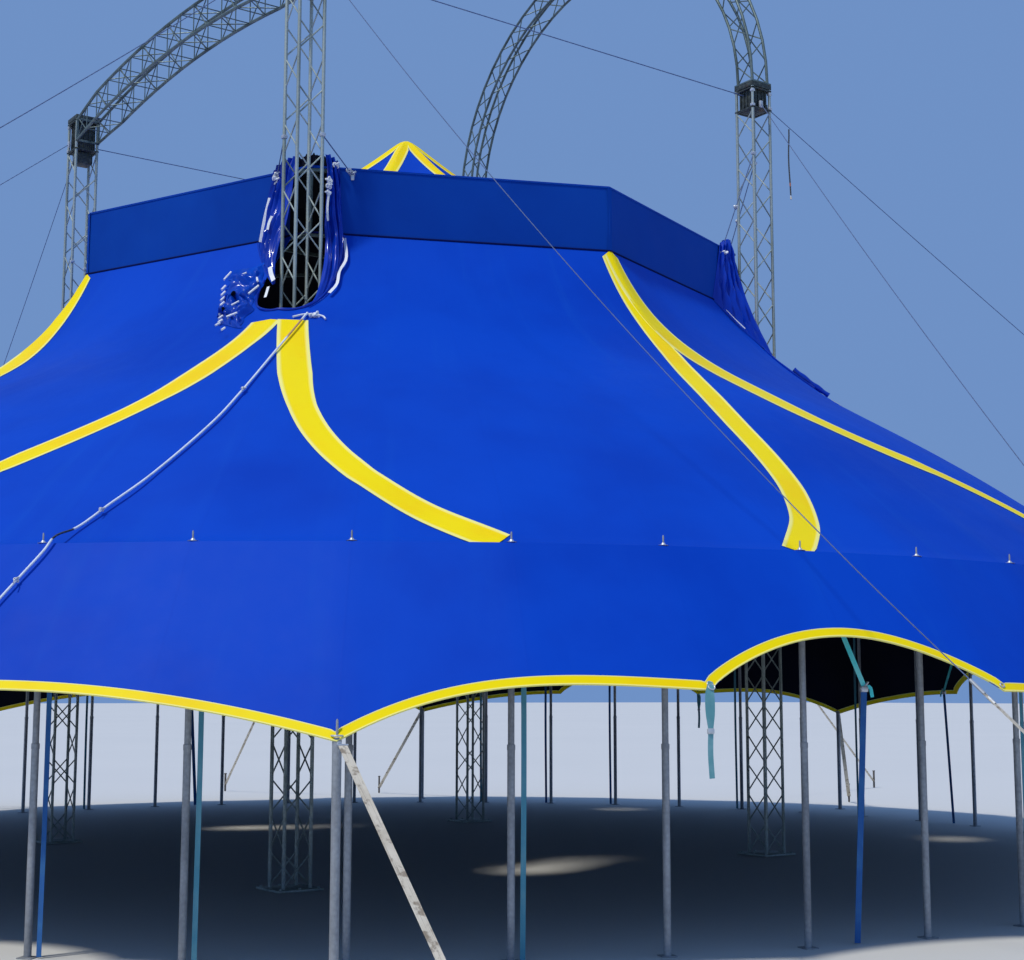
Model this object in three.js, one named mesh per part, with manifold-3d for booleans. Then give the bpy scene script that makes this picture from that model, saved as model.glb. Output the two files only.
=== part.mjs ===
// Four-mast circus big top: octagonal cupola, round canopy, scalloped eaves, guys.
// Millimetres, +Z up, origin on the ground at the centre of the ring.
import * as THREE from 'three';
import { mergeVertices } from 'three/addons/utils/BufferGeometryUtils.js';
import Module from 'manifold-3d';

const wasm = await Module();
wasm.setup();

// Driving dimensions
const GAP = 0.3;
const CLOTH = 12;

const MAST_OFFSET = 4075;
const MAST_WIDTH = 370;
const MAST_CHORD = 44;
const MAST_BRACE = 26;
const MAST_BAYS = 6;
const FRONT_HEAD = { low: 11720, high: 12340 };
const BACK_HEAD = { low: 11760, high: 12200 };
const HOIST_RADIUS = 9;
const HOIST_TURN = 5.8;
const HOIST_END = 9330;

const CUPOLA_RADIUS = 5430;
const BAND_BOTTOM = 8500;
const BAND_TOP = 9425;
const PEAK_HEIGHT = 11590;

const RING_RADIUS = 11410;
const RING_HEIGHT = 3820;
const RING_BAYS = 48;
const QUARTER_POLES = RING_BAYS / 4;
const SLANTED_STRAP = 4;
const SLANTED_HEIGHT = 2470;
const BELT_HALF = 40;
const STEEP_PLAIN = 1.49;
const STEEP_MAST = 0.94;

const EAVE_LOOSE = 2450;
const EAVE_STAKED = 2020;
const FALL = 0.774;

const POLE_RADIUS = 36;
const EAVE_POLE_RADIUS = 40;
const STAKE_RADIUS = 15000;

const ARCH_RISE = 3610;
const ARCH_WIDTH = 330;
const GIRDER_WIDTH = 450;
const GIRDER_END = 12060;
const GIRDER_CAMBER = 320;

const FRAME_HALF = 30;
const POST_RADIUS = 24;

const ROPE_RADIUS = 15;
const ROPE_END = 350;
const TAIL_RADIUS = 12;
const TAIL_LENGTH = 1180;
const TAIL_PLACE = 0.14;

const RAD = Math.PI / 180;
const BAY = 360 / RING_BAYS;
const FIRST_POLE = BAY / 2;
const FIRST_STAKED = -33.75;
const APOTHEM = CUPOLA_RADIUS * Math.cos(22.5 * RAD);
const FRAME_RADIUS = (APOTHEM - CLOTH / 2 - GAP - FRAME_HALF) / Math.cos(22.5 * RAD);

const steel = { color: 0x8d9a98, roughness: 0.45, metalness: 0.75 };
const grey = { color: 0x9a9ca0, roughness: 0.5, metalness: 0.6 };
const blue = { color: 0x1140c8, roughness: 0.4, metalness: 0.0 };
const navy = { color: 0x10329a, roughness: 0.38, metalness: 0.0 };
const rope = { color: 0x6c7076, roughness: 0.5, metalness: 0.5 };
const pale = { color: 0xe6e8ea, roughness: 0.6, metalness: 0.0 };

// Solids, joins and cuts
function solid(geometry) {
  const bare = geometry.clone();
  bare.deleteAttribute('normal');
  bare.deleteAttribute('uv');
  const merged = mergeVertices(bare, 1e-3);
  return new wasm.Manifold(new wasm.Mesh({
    numProp: 3,
    vertProperties: new Float32Array(merged.attributes.position.array),
    triVerts: new Uint32Array(merged.index.array),
  }));
}

function join(parts) {
  return parts.reduce((whole, part) => whole.add(part));
}

function meshOf(body) {
  const data = body.getMesh();
  const geometry = new THREE.BufferGeometry();
  geometry.setAttribute('position', new THREE.BufferAttribute(data.vertProperties, 3));
  geometry.setIndex(new THREE.BufferAttribute(data.triVerts, 1));
  return geometry;
}

function point(radius, azimuth, height) {
  return new THREE.Vector3(
    radius * Math.cos(azimuth * RAD), radius * Math.sin(azimuth * RAD), height);
}

// A straight bar from a to b, with the sides of a cylinder or a flat section
function bar(a, b, radius, sides = 6, turn = 0) {
  const along = new THREE.Vector3().subVectors(b, a);
  const geometry = new THREE.CylinderGeometry(radius, radius, along.length(), sides);
  geometry.rotateY(turn);
  const spin = new THREE.Quaternion().setFromUnitVectors(
    new THREE.Vector3(0, 1, 0), along.clone().normalize());
  geometry.applyQuaternion(spin);
  geometry.translate((a.x + b.x) / 2, (a.y + b.y) / 2, (a.z + b.z) / 2);
  return solid(geometry);
}

function block(center, size, azimuth = 0) {
  const geometry = new THREE.BoxGeometry(size.x, size.y, size.z);
  geometry.rotateZ(azimuth * RAD);
  geometry.translate(center.x, center.y, center.z);
  return solid(geometry);
}

// A round bar along a smooth curve through a list of points
function tube(points, radius, sides = 6, steps = points.length - 1) {
  const outline = new THREE.Shape();
  for (let i = 0; i < sides; i += 1) {
    const angle = 2 * Math.PI * i / sides;
    const [x, y] = [radius * Math.cos(angle), radius * Math.sin(angle)];
    if (i === 0) outline.moveTo(x, y);
    else outline.lineTo(x, y);
  }
  outline.closePath();
  const path = new THREE.CatmullRomCurve3(points, false, 'centripetal');
  return solid(new THREE.ExtrudeGeometry(outline, { steps, extrudePath: path, curveSegments: 1 }));
}

function upright(x, y, low, high, radius, sides = 8) {
  return bar(new THREE.Vector3(x, y, low), new THREE.Vector3(x, y, high), radius, sides);
}

// A flat strap along a list of points, its width square to the way it runs and to `face`
function strap(points, width, thickness, face) {
  const rings = points.map((place, i) => {
    const next = points[Math.min(i + 1, points.length - 1)];
    const last = points[Math.max(i - 1, 0)];
    const run = new THREE.Vector3().subVectors(next, last).normalize();
    const side = new THREE.Vector3().crossVectors(run, face).normalize().multiplyScalar(width / 2);
    const out = new THREE.Vector3().crossVectors(side, run).normalize()
      .multiplyScalar(thickness / 2);
    return [[1, 1], [-1, 1], [-1, -1], [1, -1]].map(([s, t]) => place.clone()
      .addScaledVector(side, s).addScaledVector(out, t));
  });
  return solid(loft(rings));
}

// A closed skin over rings of points, capped at both ends
function loft(rings) {
  const count = rings[0].length;
  const positions = rings.flat().flatMap((p) => [p.x, p.y, p.z]);
  const index = [];
  for (let i = 0; i < rings.length - 1; i += 1) {
    for (let j = 0; j < count; j += 1) {
      const k = (j + 1) % count;
      const a = i * count + j;
      const b = i * count + k;
      const c = (i + 1) * count + k;
      const d = (i + 1) * count + j;
      index.push(a, b, c, a, c, d);
    }
  }
  const end = (rings.length - 1) * count;
  for (let j = 1; j < count - 1; j += 1) {
    index.push(0, j + 1, j);
    index.push(end, end + j, end + j + 1);
  }
  const geometry = new THREE.BufferGeometry();
  geometry.setAttribute('position', new THREE.Float32BufferAttribute(positions, 3));
  geometry.setIndex(index);
  if (volumeOf(geometry) < 0) {
    geometry.setIndex(index.flatMap((v, i) => (i % 3 === 0 ? [v, index[i + 2], index[i + 1]] : [])));
  }
  return geometry;
}

function volumeOf(geometry) {
  const p = geometry.attributes.position;
  const index = geometry.index;
  const [a, b, c] = [new THREE.Vector3(), new THREE.Vector3(), new THREE.Vector3()];
  let total = 0;
  for (let i = 0; i < index.count; i += 3) {
    a.fromBufferAttribute(p, index.getX(i));
    b.fromBufferAttribute(p, index.getX(i + 1));
    c.fromBufferAttribute(p, index.getX(i + 2));
    total += a.dot(b.cross(c)) / 6;
  }
  return total;
}

// A sheet over a grid of points, given the thickness of the cloth along its own normals,
// which stay in the plane of the seam along its two side edges
function sheet(grid, thickness = CLOTH) {
  const rows = grid.length;
  const columns = grid[0].length;
  const normals = grid.map((row, i) => row.map((place, j) => {
    const du = new THREE.Vector3().subVectors(
      grid[Math.min(i + 1, rows - 1)][j], grid[Math.max(i - 1, 0)][j]);
    const dv = new THREE.Vector3().subVectors(
      row[Math.min(j + 1, columns - 1)], row[Math.max(j - 1, 0)]);
    const normal = du.cross(dv).normalize();
    if (j === 0 || j === columns - 1) {
      const around = new THREE.Vector3(-place.y, place.x, 0).normalize();
      normal.addScaledVector(around, -normal.dot(around));
    }
    return normal.multiplyScalar(thickness / 2);
  }));
  const positions = [];
  for (const side of [1, -1]) {
    grid.forEach((row, i) => row.forEach((place, j) => {
      const p = place.clone().addScaledVector(normals[i][j], side);
      positions.push(p.x, p.y, p.z);
    }));
  }
  const half = rows * columns;
  const index = [];
  const quad = (a, b, c, d) => index.push(a, b, c, a, c, d);
  for (let i = 0; i < rows - 1; i += 1) {
    for (let j = 0; j < columns - 1; j += 1) {
      const a = i * columns + j;
      quad(a, a + columns, a + columns + 1, a + 1);
      quad(half + a, half + a + 1, half + a + columns + 1, half + a + columns);
    }
  }
  for (let j = 0; j < columns - 1; j += 1) {
    const far = (rows - 1) * columns + j;
    quad(j, j + 1, half + j + 1, half + j);
    quad(far + 1, far, half + far, half + far + 1);
  }
  for (let i = 0; i < rows - 1; i += 1) {
    const a = i * columns;
    const b = a + columns - 1;
    quad(a + columns, a, half + a, half + a + columns);
    quad(b, b + columns, half + b + columns, half + b);
  }
  const geometry = new THREE.BufferGeometry();
  geometry.setAttribute('position', new THREE.Float32BufferAttribute(positions, 3));
  geometry.setIndex(index);
  if (volumeOf(geometry) < 0) {
    geometry.setIndex(index.flatMap((v, i) => (i % 3 === 0 ? [v, index[i + 2], index[i + 1]] : [])));
  }
  return geometry;
}

// Outlines in plan
function offBay(azimuth, step, first) {
  const away = (((azimuth - first) % step) + step) % step;
  return away - step / 2;
}

function polygonRadius(azimuth, apothem, step, first) {
  return apothem / Math.cos(offBay(azimuth, step, first) * RAD);
}

function cupolaRadius(azimuth, apothem) {
  return polygonRadius(azimuth, apothem, 45, 0);
}

function ringRadius(azimuth, radius) {
  return polygonRadius(azimuth, radius * Math.cos(BAY / 2 * RAD), BAY, FIRST_POLE);
}

// The canopy falls steeply at the cupola and flattens towards the ring
function roofPoint(azimuth, t) {
  const inner = cupolaRadius(azimuth, APOTHEM + CLOTH / 2 + GAP + 0.43 * CLOTH);
  const outer = ringRadius(azimuth, RING_RADIUS - BELT_HALF - GAP - 0.31 * CLOTH);
  const nearMast = 0.5 - 0.5 * Math.cos(4 * azimuth * RAD);
  const steep = STEEP_PLAIN + (STEEP_MAST - STEEP_PLAIN) * nearMast;
  const drop = t + steep * t * (1 - t) ** 4;
  const height = BAND_BOTTOM + (RING_HEIGHT - BAND_BOTTOM) * drop;
  return point(inner + (outer - inner) * t, azimuth, height);
}

// The eave hangs in scallops between points 15 degrees apart, every third one staked down
function eaveHeight(azimuth) {
  const place = ((((azimuth - FIRST_STAKED) % 45) + 45) % 45) / 15;
  const span = Math.floor(place + 1e-9) % 3;
  const u = place - Math.floor(place + 1e-9);
  if (span === 0) {
    const rise = EAVE_LOOSE + 60 * Math.sin(Math.PI * u);
    return rise - (EAVE_LOOSE - EAVE_STAKED) * (1 - u) ** 4;
  }
  if (span === 1) {
    return EAVE_LOOSE + 510 * Math.sin(Math.PI * u) ** 0.8;
  }
  return EAVE_LOOSE - (EAVE_LOOSE - EAVE_STAKED) * u ** 2;
}

function valancePoint(azimuth, t) {
  const top = ringRadius(azimuth, RING_RADIUS + BELT_HALF + GAP + 0.4 * CLOTH);
  const low = eaveHeight(azimuth);
  const height = RING_HEIGHT + (low - RING_HEIGHT) * t;
  return point(top + (RING_HEIGHT - height) * FALL, azimuth, height);
}

// Lattice members: four chords and a zigzag on each face
function lattice(sections, chord, brace) {
  const parts = [];
  for (let corner = 0; corner < 4; corner += 1) {
    const line = sections.map((section) => section[corner]);
    parts.push(line.length > 2 ? tube(line, chord / 2, 4) : bar(line[0], line[1], chord / 2, 4));
  }
  for (let i = 0; i < sections.length - 1; i += 1) {
    for (let corner = 0; corner < 4; corner += 1) {
      const next = (corner + 1) % 4;
      const [from, to] = i % 2 ? [next, corner] : [corner, next];
      const apart = corner % 2 ? 0.2 : 0.07;
      const low = sections[i][from].clone().lerp(sections[i + 1][from], apart);
      const high = sections[i + 1][to].clone().lerp(sections[i][to], apart);
      parts.push(bar(low, high, brace / 2, 3));
    }
  }
  return join(parts);
}

function squareSection(center, u, v, width) {
  const h = width / 2;
  return [[1, 1], [-1, 1], [-1, -1], [1, -1]].map(([s, t]) => center.clone()
    .addScaledVector(u, s * h).addScaledVector(v, t * h));
}

const X = new THREE.Vector3(1, 0, 0);
const Y = new THREE.Vector3(0, 1, 0);
const Z = new THREE.Vector3(0, 0, 1);

function headOf(sy) {
  return sy < 0 ? FRONT_HEAD : BACK_HEAD;
}

// A line from the mast's chord down to a shackle on the outside of the cupola, beside its corner
function hoist(x, y, azimuth, side, top) {
  const turn = azimuth + side * HOIST_TURN;
  const facing = azimuth + side * 22.5;
  const apothem = APOTHEM + CLOTH / 2 + GAP + 18;
  const ring = polygonRadius(turn, apothem, 45, 0);
  const chord = new THREE.Vector3(
    x + Math.sign(Math.cos((azimuth + 90 * side) * RAD)) * MAST_WIDTH / 2,
    y + Math.sign(Math.sin((azimuth + 90 * side) * RAD)) * MAST_WIDTH / 2, top);
  return [
    bar(chord, point(ring, turn, HOIST_END), HOIST_RADIUS, 4),
    block(point(ring, turn, HOIST_END - 60), new THREE.Vector3(36, 60, 150), facing),
  ];
}

function mast(sx, sy, azimuth, hoistTop) {
  const x = sx * MAST_OFFSET;
  const y = sy * MAST_OFFSET;
  const { low, high } = headOf(sy);
  const sections = [];
  for (let i = 0; i <= MAST_BAYS; i += 1) {
    const z = 20 + (low - 20) * i / MAST_BAYS;
    sections.push(squareSection(new THREE.Vector3(x, y, z), X, Y, MAST_WIDTH));
  }
  const foot = block(new THREE.Vector3(x, y, 15), new THREE.Vector3(620, 620, 30));
  const head = block(new THREE.Vector3(x, y, (low + high) / 2 - 5),
    new THREE.Vector3(420, 420, high - low + 10));
  const hoists = [-1, 1].flatMap((side) => hoist(x, y, azimuth, side, hoistTop));
  return meshOf(join([foot, lattice(sections, MAST_CHORD, MAST_BRACE), head, ...hoists]));
}

// The cambered truss between the heads of the two front masts
function girder() {
  const reach = MAST_OFFSET - 210 - GAP;
  const bays = 8;
  const sections = [];
  for (let i = 0; i <= bays; i += 1) {
    const place = 2 * i / bays - 1;
    const end = i === 0 || i === bays;
    const center = new THREE.Vector3((reach - 10) * place, -MAST_OFFSET,
      GIRDER_END + GIRDER_CAMBER * (1 - place ** 2));
    sections.push(squareSection(center, Y, Z, end ? MAST_WIDTH : GIRDER_WIDTH));
  }
  const plates = [-1, 1].map((side) => block(
    new THREE.Vector3(side * (reach - 10), -MAST_OFFSET, GIRDER_END), new THREE.Vector3(20, 420, 420)));
  return meshOf(join([lattice(sections, MAST_CHORD, MAST_BRACE), ...plates]));
}

// The arched truss that stands on the heads of the two back masts
function arch() {
  const steps = 10;
  const base = BACK_HEAD.high + GAP;
  const sections = [];
  for (let i = 0; i <= steps; i += 1) {
    const angle = Math.PI * i / steps;
    const center = new THREE.Vector3(
      -MAST_OFFSET * Math.cos(angle), MAST_OFFSET, base + 20 + ARCH_RISE * Math.sin(angle));
    const along = new THREE.Vector3(
      MAST_OFFSET * Math.sin(angle), 0, ARCH_RISE * Math.cos(angle)).normalize();
    const across = new THREE.Vector3().crossVectors(along, Y);
    sections.push(squareSection(center, across, Y, ARCH_WIDTH));
  }
  const plates = [-1, 1].map((side) => block(
    new THREE.Vector3(side * MAST_OFFSET, MAST_OFFSET, base + 15), new THREE.Vector3(420, 420, 30)));
  return meshOf(join([lattice(sections, MAST_CHORD, MAST_BRACE), ...plates]));
}

// Cupola: an octagonal band, its peaked roof, and the frame that hangs from the mast heads
function octagonPrism(apothem, low, high) {
  const geometry = new THREE.CylinderGeometry(
    apothem / Math.cos(22.5 * RAD), apothem / Math.cos(22.5 * RAD), high - low, 8);
  geometry.rotateX(Math.PI / 2);
  geometry.rotateZ(Math.PI / 2);
  geometry.translate(0, 0, (low + high) / 2);
  return solid(geometry);
}

function cupolaBand() {
  const outside = octagonPrism(APOTHEM + CLOTH / 2, BAND_BOTTOM - 40, BAND_TOP);
  const inside = octagonPrism(APOTHEM - CLOTH / 2, BAND_BOTTOM - 60, BAND_TOP + 20);
  return meshOf(outside.subtract(inside));
}

function cupolaRoof() {
  const rings = 7;
  const profile = [];
  for (let i = 0; i <= rings; i += 1) {
    const s = i / rings;
    profile.push(new THREE.Vector2((APOTHEM + 6) * s / Math.cos(22.5 * RAD),
      BAND_TOP + GAP + CLOTH + (PEAK_HEIGHT - BAND_TOP - CLOTH) * (1 - s) ** 2));
  }
  for (let i = rings; i >= 0; i -= 1) {
    const s = i / rings;
    profile.push(new THREE.Vector2((APOTHEM + 6) * s / Math.cos(22.5 * RAD),
      BAND_TOP + GAP + (PEAK_HEIGHT - 40 - BAND_TOP) * (1 - s) ** 2));
  }
  const geometry = new THREE.LatheGeometry(profile.reverse(), 8);
  geometry.rotateX(Math.PI / 2);
  return meshOf(solid(geometry));
}

function cupolaFrame() {
  const parts = [];
  for (const height of [BAND_BOTTOM, BAND_TOP - FRAME_HALF]) {
    for (let k = 0; k < 8; k += 1) {
      const middle = point(FRAME_RADIUS * Math.cos(22.5 * RAD), 45 * k + 22.5, height);
      parts.push(block(middle, new THREE.Vector3(
        2 * FRAME_HALF, 2 * FRAME_RADIUS * Math.sin(22.5 * RAD), 2 * FRAME_HALF), 45 * k + 22.5));
    }
  }
  for (let k = 0; k < 8; k += 1) {
    const place = point(FRAME_RADIUS - POST_RADIUS, 45 * k, 0);
    parts.push(upright(place.x, place.y, BAND_BOTTOM, BAND_TOP - FRAME_HALF, POST_RADIUS, 6));
  }
  return meshOf(join(parts));
}

// Four bars across the frame, from post to post, carry the king post under the peak
function cupolaSpokes() {
  const reach = FRAME_RADIUS - 2 * POST_RADIUS - GAP;
  const height = BAND_TOP - FRAME_HALF - 4;
  const parts = [];
  for (let k = 0; k < 4; k += 1) {
    parts.push(block(new THREE.Vector3(0, 0, height), new THREE.Vector3(2 * reach, 48, 48), 45 * k));
  }
  parts.push(upright(0, 0, height - 24, PEAK_HEIGHT - 160, 40, 8));
  return meshOf(join(parts));
}

// One quarter of the canopy, cut round the masts at its two upper corners
function roofQuarter(middle) {
  const rows = 8;
  const columns = 24;
  const edge = 45 - 0.002;
  const grid = [];
  for (let i = 0; i <= rows; i += 1) {
    const row = [];
    for (let j = 0; j <= columns; j += 1) {
      row.push(roofPoint(middle - edge + 2 * edge * j / columns, (i / rows) ** 1.4));
    }
    grid.push(row);
  }
  let body = solid(sheet(grid));
  for (const azimuth of [middle - 45, middle + 45]) {
    const place = point(MAST_OFFSET * Math.SQRT2, azimuth, 0);
    body = body.subtract(upright(place.x, place.y, 7000, 9500, 312 + GAP, 12));
  }
  return meshOf(body);
}

function valanceQuarter(middle) {
  const rows = 2;
  const columns = 24;
  const edge = 45 - 0.002;
  const grid = [];
  for (let i = 0; i <= rows; i += 1) {
    const row = [];
    for (let j = 0; j <= columns; j += 1) {
      row.push(valancePoint(middle - edge + 2 * edge * j / columns, i / rows));
    }
    grid.push(row);
  }
  let body = solid(sheet(grid));
  for (let n = 0; n < 8; n += 1) {
    const place = eavePolePlace(n);
    body = body.subtract(upright(place.x, place.y, 1500, 2600, EAVE_POLE_RADIUS + GAP, 8));
  }
  return meshOf(body);
}

// The gathered sleeve round a mast, cut low on its outer side
function collar(azimuth) {
  const place = point(MAST_OFFSET * Math.SQRT2, azimuth, 0);
  const ring = (radius, low, high) => upright(place.x, place.y, low, high, radius, 12);
  const tube = ring(312, 7300, 9380).subtract(ring(300, 7200, 9480));
  const cut = new THREE.BoxGeometry(2400, 2400, 2000);
  cut.translate(0, 0, 1000);
  cut.rotateY(62 * RAD);
  cut.translate(CUPOLA_RADIUS + 60, 0, BAND_TOP - 40);
  cut.rotateZ(azimuth * RAD);
  return meshOf(tube.subtract(solid(cut)));
}

// Twelve side poles with their pins, held in line by the belt sewn round the ring.
// A strap hangs beside every second pole and beside the last one; one of them leads aside from its pole.
function ringPoles(middle) {
  const parts = [];
  const belt = [];
  const edge = 45 - 0.002;
  for (let j = 0; j <= 24; j += 1) {
    const azimuth = middle - edge + 2 * edge * j / 24;
    const center = point(ringRadius(azimuth, RING_RADIUS), azimuth, RING_HEIGHT);
    belt.push(center);
  }
  parts.push(strap(belt, 2 * BELT_HALF, CLOTH, Z));
  for (let k = 0; k < QUARTER_POLES; k += 1) {
    const azimuth = middle - 45 + FIRST_POLE + BAY * k;
    const p = point(RING_RADIUS, azimuth, 0);
    parts.push(upright(p.x, p.y, 5, RING_HEIGHT - 3, POLE_RADIUS, 6));
    parts.push(upright(p.x, p.y, RING_HEIGHT, RING_HEIGHT + 110, 9, 4));
    parts.push(block(point(RING_RADIUS, azimuth, 5), new THREE.Vector3(150, 150, 10), azimuth));
    if (k === SLANTED_STRAP) {
      const r = RING_RADIUS - 8;
      parts.push(strap([point(r, azimuth + 0.55, RING_HEIGHT), point(r, azimuth + 3.75, SLANTED_HEIGHT),
        point(r, azimuth + 2.95, 4)], 50, 6, point(1, azimuth, 0)));
    } else if (k % 2 === 0 || k === QUARTER_POLES - 1) {
      const q = point(RING_RADIUS - 8, azimuth + 0.55, 0);
      parts.push(strap([new THREE.Vector3(q.x, q.y, RING_HEIGHT),
        new THREE.Vector3(q.x, q.y, 4)], 50, 6, point(1, azimuth, 0)));
      parts.push(block(new THREE.Vector3((p.x + q.x) / 2, (p.y + q.y) / 2, 5),
        new THREE.Vector3(70, 200, 10), azimuth));
    }
  }
  return meshOf(join(parts));
}

// A staked corner: pole, pin, strap and ground stake
function eavePolePlace(n) {
  const azimuth = FIRST_STAKED + 45 * n;
  return point(ringRadius(azimuth, RING_RADIUS) + (RING_HEIGHT - EAVE_STAKED) * FALL + 8, azimuth, 0);
}

function stakedCorner(n) {
  const azimuth = FIRST_STAKED + 45 * n;
  const p = eavePolePlace(n);
  const stake = point(STAKE_RADIUS, azimuth + 4.3, 0);
  const top = EAVE_STAKED + 35;
  const away = new THREE.Vector3(stake.x - p.x, stake.y - p.y, 0).normalize();
  const tie = p.clone().addScaledVector(away, 90).setZ(top - 60);
  const low = stake.clone().setZ(130);
  return meshOf(join([
    block(p.clone().setZ(5), new THREE.Vector3(160, 160, 10), azimuth),
    upright(p.x, p.y, 5, top, EAVE_POLE_RADIUS, 8),
    upright(p.x, p.y, top - 5, top + 150, 10, 4),
    block(p.clone().addScaledVector(away, 45).setZ(top - 60),
      new THREE.Vector3(110, 70, 12), Math.atan2(away.y, away.x) / RAD),
    strap([tie, low], 80, 8, Z),
    upright(stake.x, stake.y, 0, 420, 22, 6),
  ]));
}

// A guy: steel cable from the mast head, webbing and a ground stake
function guyRoute(sx, sy, top, azimuth, radius, slack) {
  const start = new THREE.Vector3(sx * MAST_OFFSET, sy * MAST_OFFSET, top);
  const stake = point(radius, azimuth, 0);
  const away = new THREE.Vector3(stake.x - start.x, stake.y - start.y, 0).normalize();
  const across = Math.abs(away.x) > Math.abs(away.y);
  const face = 210 / Math.max(Math.abs(away.x), Math.abs(away.y));
  const from = start.clone().addScaledVector(away, face + GAP + 26);
  const end = stake.clone().setZ(160);
  const places = [];
  for (let i = 0; i <= 6; i += 1) {
    const u = i / 6;
    const p = new THREE.Vector3().lerpVectors(from, end, u);
    p.z -= slack * 4 * u * (1 - u);
    places.push(p);
  }
  const out = new THREE.Vector3(across ? Math.sign(away.x) : 0, across ? 0 : Math.sign(away.y), 0);
  const lug = start.clone().addScaledVector(away, face).addScaledVector(out, GAP + 20);
  return { places, stake, lug, across };
}

function guyParts(route) {
  const { places, stake, lug, across } = route;
  return [
    block(lug, new THREE.Vector3(across ? 40 : 60, across ? 60 : 40, 110)),
    tube(places.slice(0, 6), 9, 4),
    strap([places[5].clone().lerp(places[4], 0.32), places[5], places[6]], 60, 10, Z),
    upright(stake.x, stake.y, 0, 450, 26, 6),
  ];
}

// The rope tail hangs free from a clamp on one guy
function tailTop(route) {
  return new THREE.Vector3().lerpVectors(route.places[0], route.places[1], TAIL_PLACE);
}

function ropeTail(top) {
  const points = [0, 0.08, 0.16, 0.3, 0.5, 0.75, 1].map((u) => new THREE.Vector3(
    top.x - 18 * Math.sin(5 * Math.max(0, u - 0.1)), top.y, top.z - 30 - 2 * GAP - TAIL_LENGTH * u));
  return meshOf(tube(points, TAIL_RADIUS, 8, 16));
}

// The sleeved rope lies on the canopy and the valance, then drops over the eave
function sleevedRope() {
  const rise = ROPE_RADIUS + CLOTH / 2 + 24;
  const outward = (place, azimuth, radial, vertical) => place.clone()
    .add(point(rise * radial, azimuth, rise * vertical));
  const onCanopy = [[-41.68, 0.23], [-42.36, 0.388], [-43.01, 0.593], [-43.62, 0.689],
    [-45.49, 0.845], [-46.68, 0.914], [-47.56, 0.97]];
  const points = onCanopy.map(([azimuth, t]) => outward(roofPoint(azimuth, t), azimuth, 0.55, 0.83));
  points.push(outward(point(RING_RADIUS, -48.05, RING_HEIGHT), -48.05, 0.9, 1.5));
  for (const [azimuth, t] of [[-48.25, 0.07], [-48.8, 0.25], [-49.4, 0.467], [-50, 0.75], [-50.4, 0.95]]) {
    points.push(outward(valancePoint(azimuth, t), azimuth, 0.85, 0.65));
  }
  const edge = valancePoint(-50.5, 1);
  const reach = Math.hypot(edge.x, edge.y) + 85;
  points.push(point(reach, -50.5, edge.z - 150));
  points.push(point(reach + 20, -50.7, 1300));
  points.push(point(reach + 40, -50.6, ROPE_END));
  return meshOf(tube(points, ROPE_RADIUS, 8, 56));
}

// A straight tie cable between a front and a back mast head
function tie(x, front, back) {
  const reach = MAST_OFFSET - 210 - GAP;
  return meshOf(bar(new THREE.Vector3(x, -reach, front), new THREE.Vector3(x, reach, back), 8, 6));
}

// Assembly
const tent = new THREE.Group();

function addPiece(name, geometry, look) {
  const piece = new THREE.Mesh(geometry, new THREE.MeshStandardMaterial(look));
  piece.name = name;
  tent.add(piece);
}

// Masts: sides, azimuth of the corner of the cupola beside it, and top of the hoist lines
const MASTS = [
  ['front_left', -1, -1, -135, 9730],
  ['front_right', 1, -1, -45, 9730],
  ['back_right', 1, 1, 45, 11000],
  ['back_left', -1, 1, 135, 11000],
];
const QUARTERS = [['right', 0], ['back', 90], ['left', 180], ['front', 270]];

for (const [side, sx, sy, azimuth, hoistTop] of MASTS) {
  addPiece(`mast_${side}`, mast(sx, sy, azimuth, hoistTop), steel);
  addPiece(`collar_${side}`, collar(azimuth), navy);
}
addPiece('front_girder', girder(), steel);
addPiece('back_arch', arch(), steel);
addPiece('tie_cable_right', tie(MAST_OFFSET, 12150, 12000), rope);
addPiece('tie_cable_left', tie(-MAST_OFFSET, 11850, 11800), rope);
addPiece('cupola_band', cupolaBand(), navy);
addPiece('cupola_roof', cupolaRoof(), blue);
addPiece('cupola_frame', cupolaFrame(), steel);
addPiece('cupola_spokes', cupolaSpokes(), steel);
for (const [side, middle] of QUARTERS) {
  addPiece(`canopy_${side}`, roofQuarter(middle), blue);
  addPiece(`valance_${side}`, valanceQuarter(middle), blue);
  addPiece(`ring_poles_${side}`, ringPoles(middle), grey);
}
for (let n = 0; n < 8; n += 1) {
  addPiece(`staked_corner_${n + 1}`, stakedCorner(n), grey);
}
// Guys: height on the mast head, azimuth and reach of the stake, and slack, of the end and side guys
const GUYS = [
  ['front_left', -1, -1, [11850, -164, 16554, 220], [11850, -112, 21000, 90]],
  ['front_right', 1, -1, [12100, -6, 16000, 550], [12200, -65.6, 21000, 310]],
  ['back_right', 1, 1, [11830, 6.6, 15000, 270], [11860, 64, 21660, 150]],
  ['back_left', -1, 1, [11830, 164, 16554, 220], [11860, 112, 21000, 90]],
];

for (const [side, sx, sy, end, flank] of GUYS) {
  const flankRoute = guyRoute(sx, sy, ...flank);
  const parts = guyParts(flankRoute);
  if (side === 'back_right') {
    const top = tailTop(flankRoute);
    parts.push(block(top, new THREE.Vector3(40, 40, 60)));
    addPiece('rope_tail', ropeTail(top), rope);
  }
  addPiece(`end_guy_${side}`, meshOf(join(guyParts(guyRoute(sx, sy, ...end)))), rope);
  addPiece(`side_guy_${side}`, meshOf(join(parts)), rope);
}
addPiece('sleeved_rope', sleevedRope(), pale);

export default tent;
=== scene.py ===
# Looks of a four-mast circus big top: canvas, lattice masts, side poles, guys and ropes.
import math

import bpy
import numpy as np
from mathutils import Matrix, Vector


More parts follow.
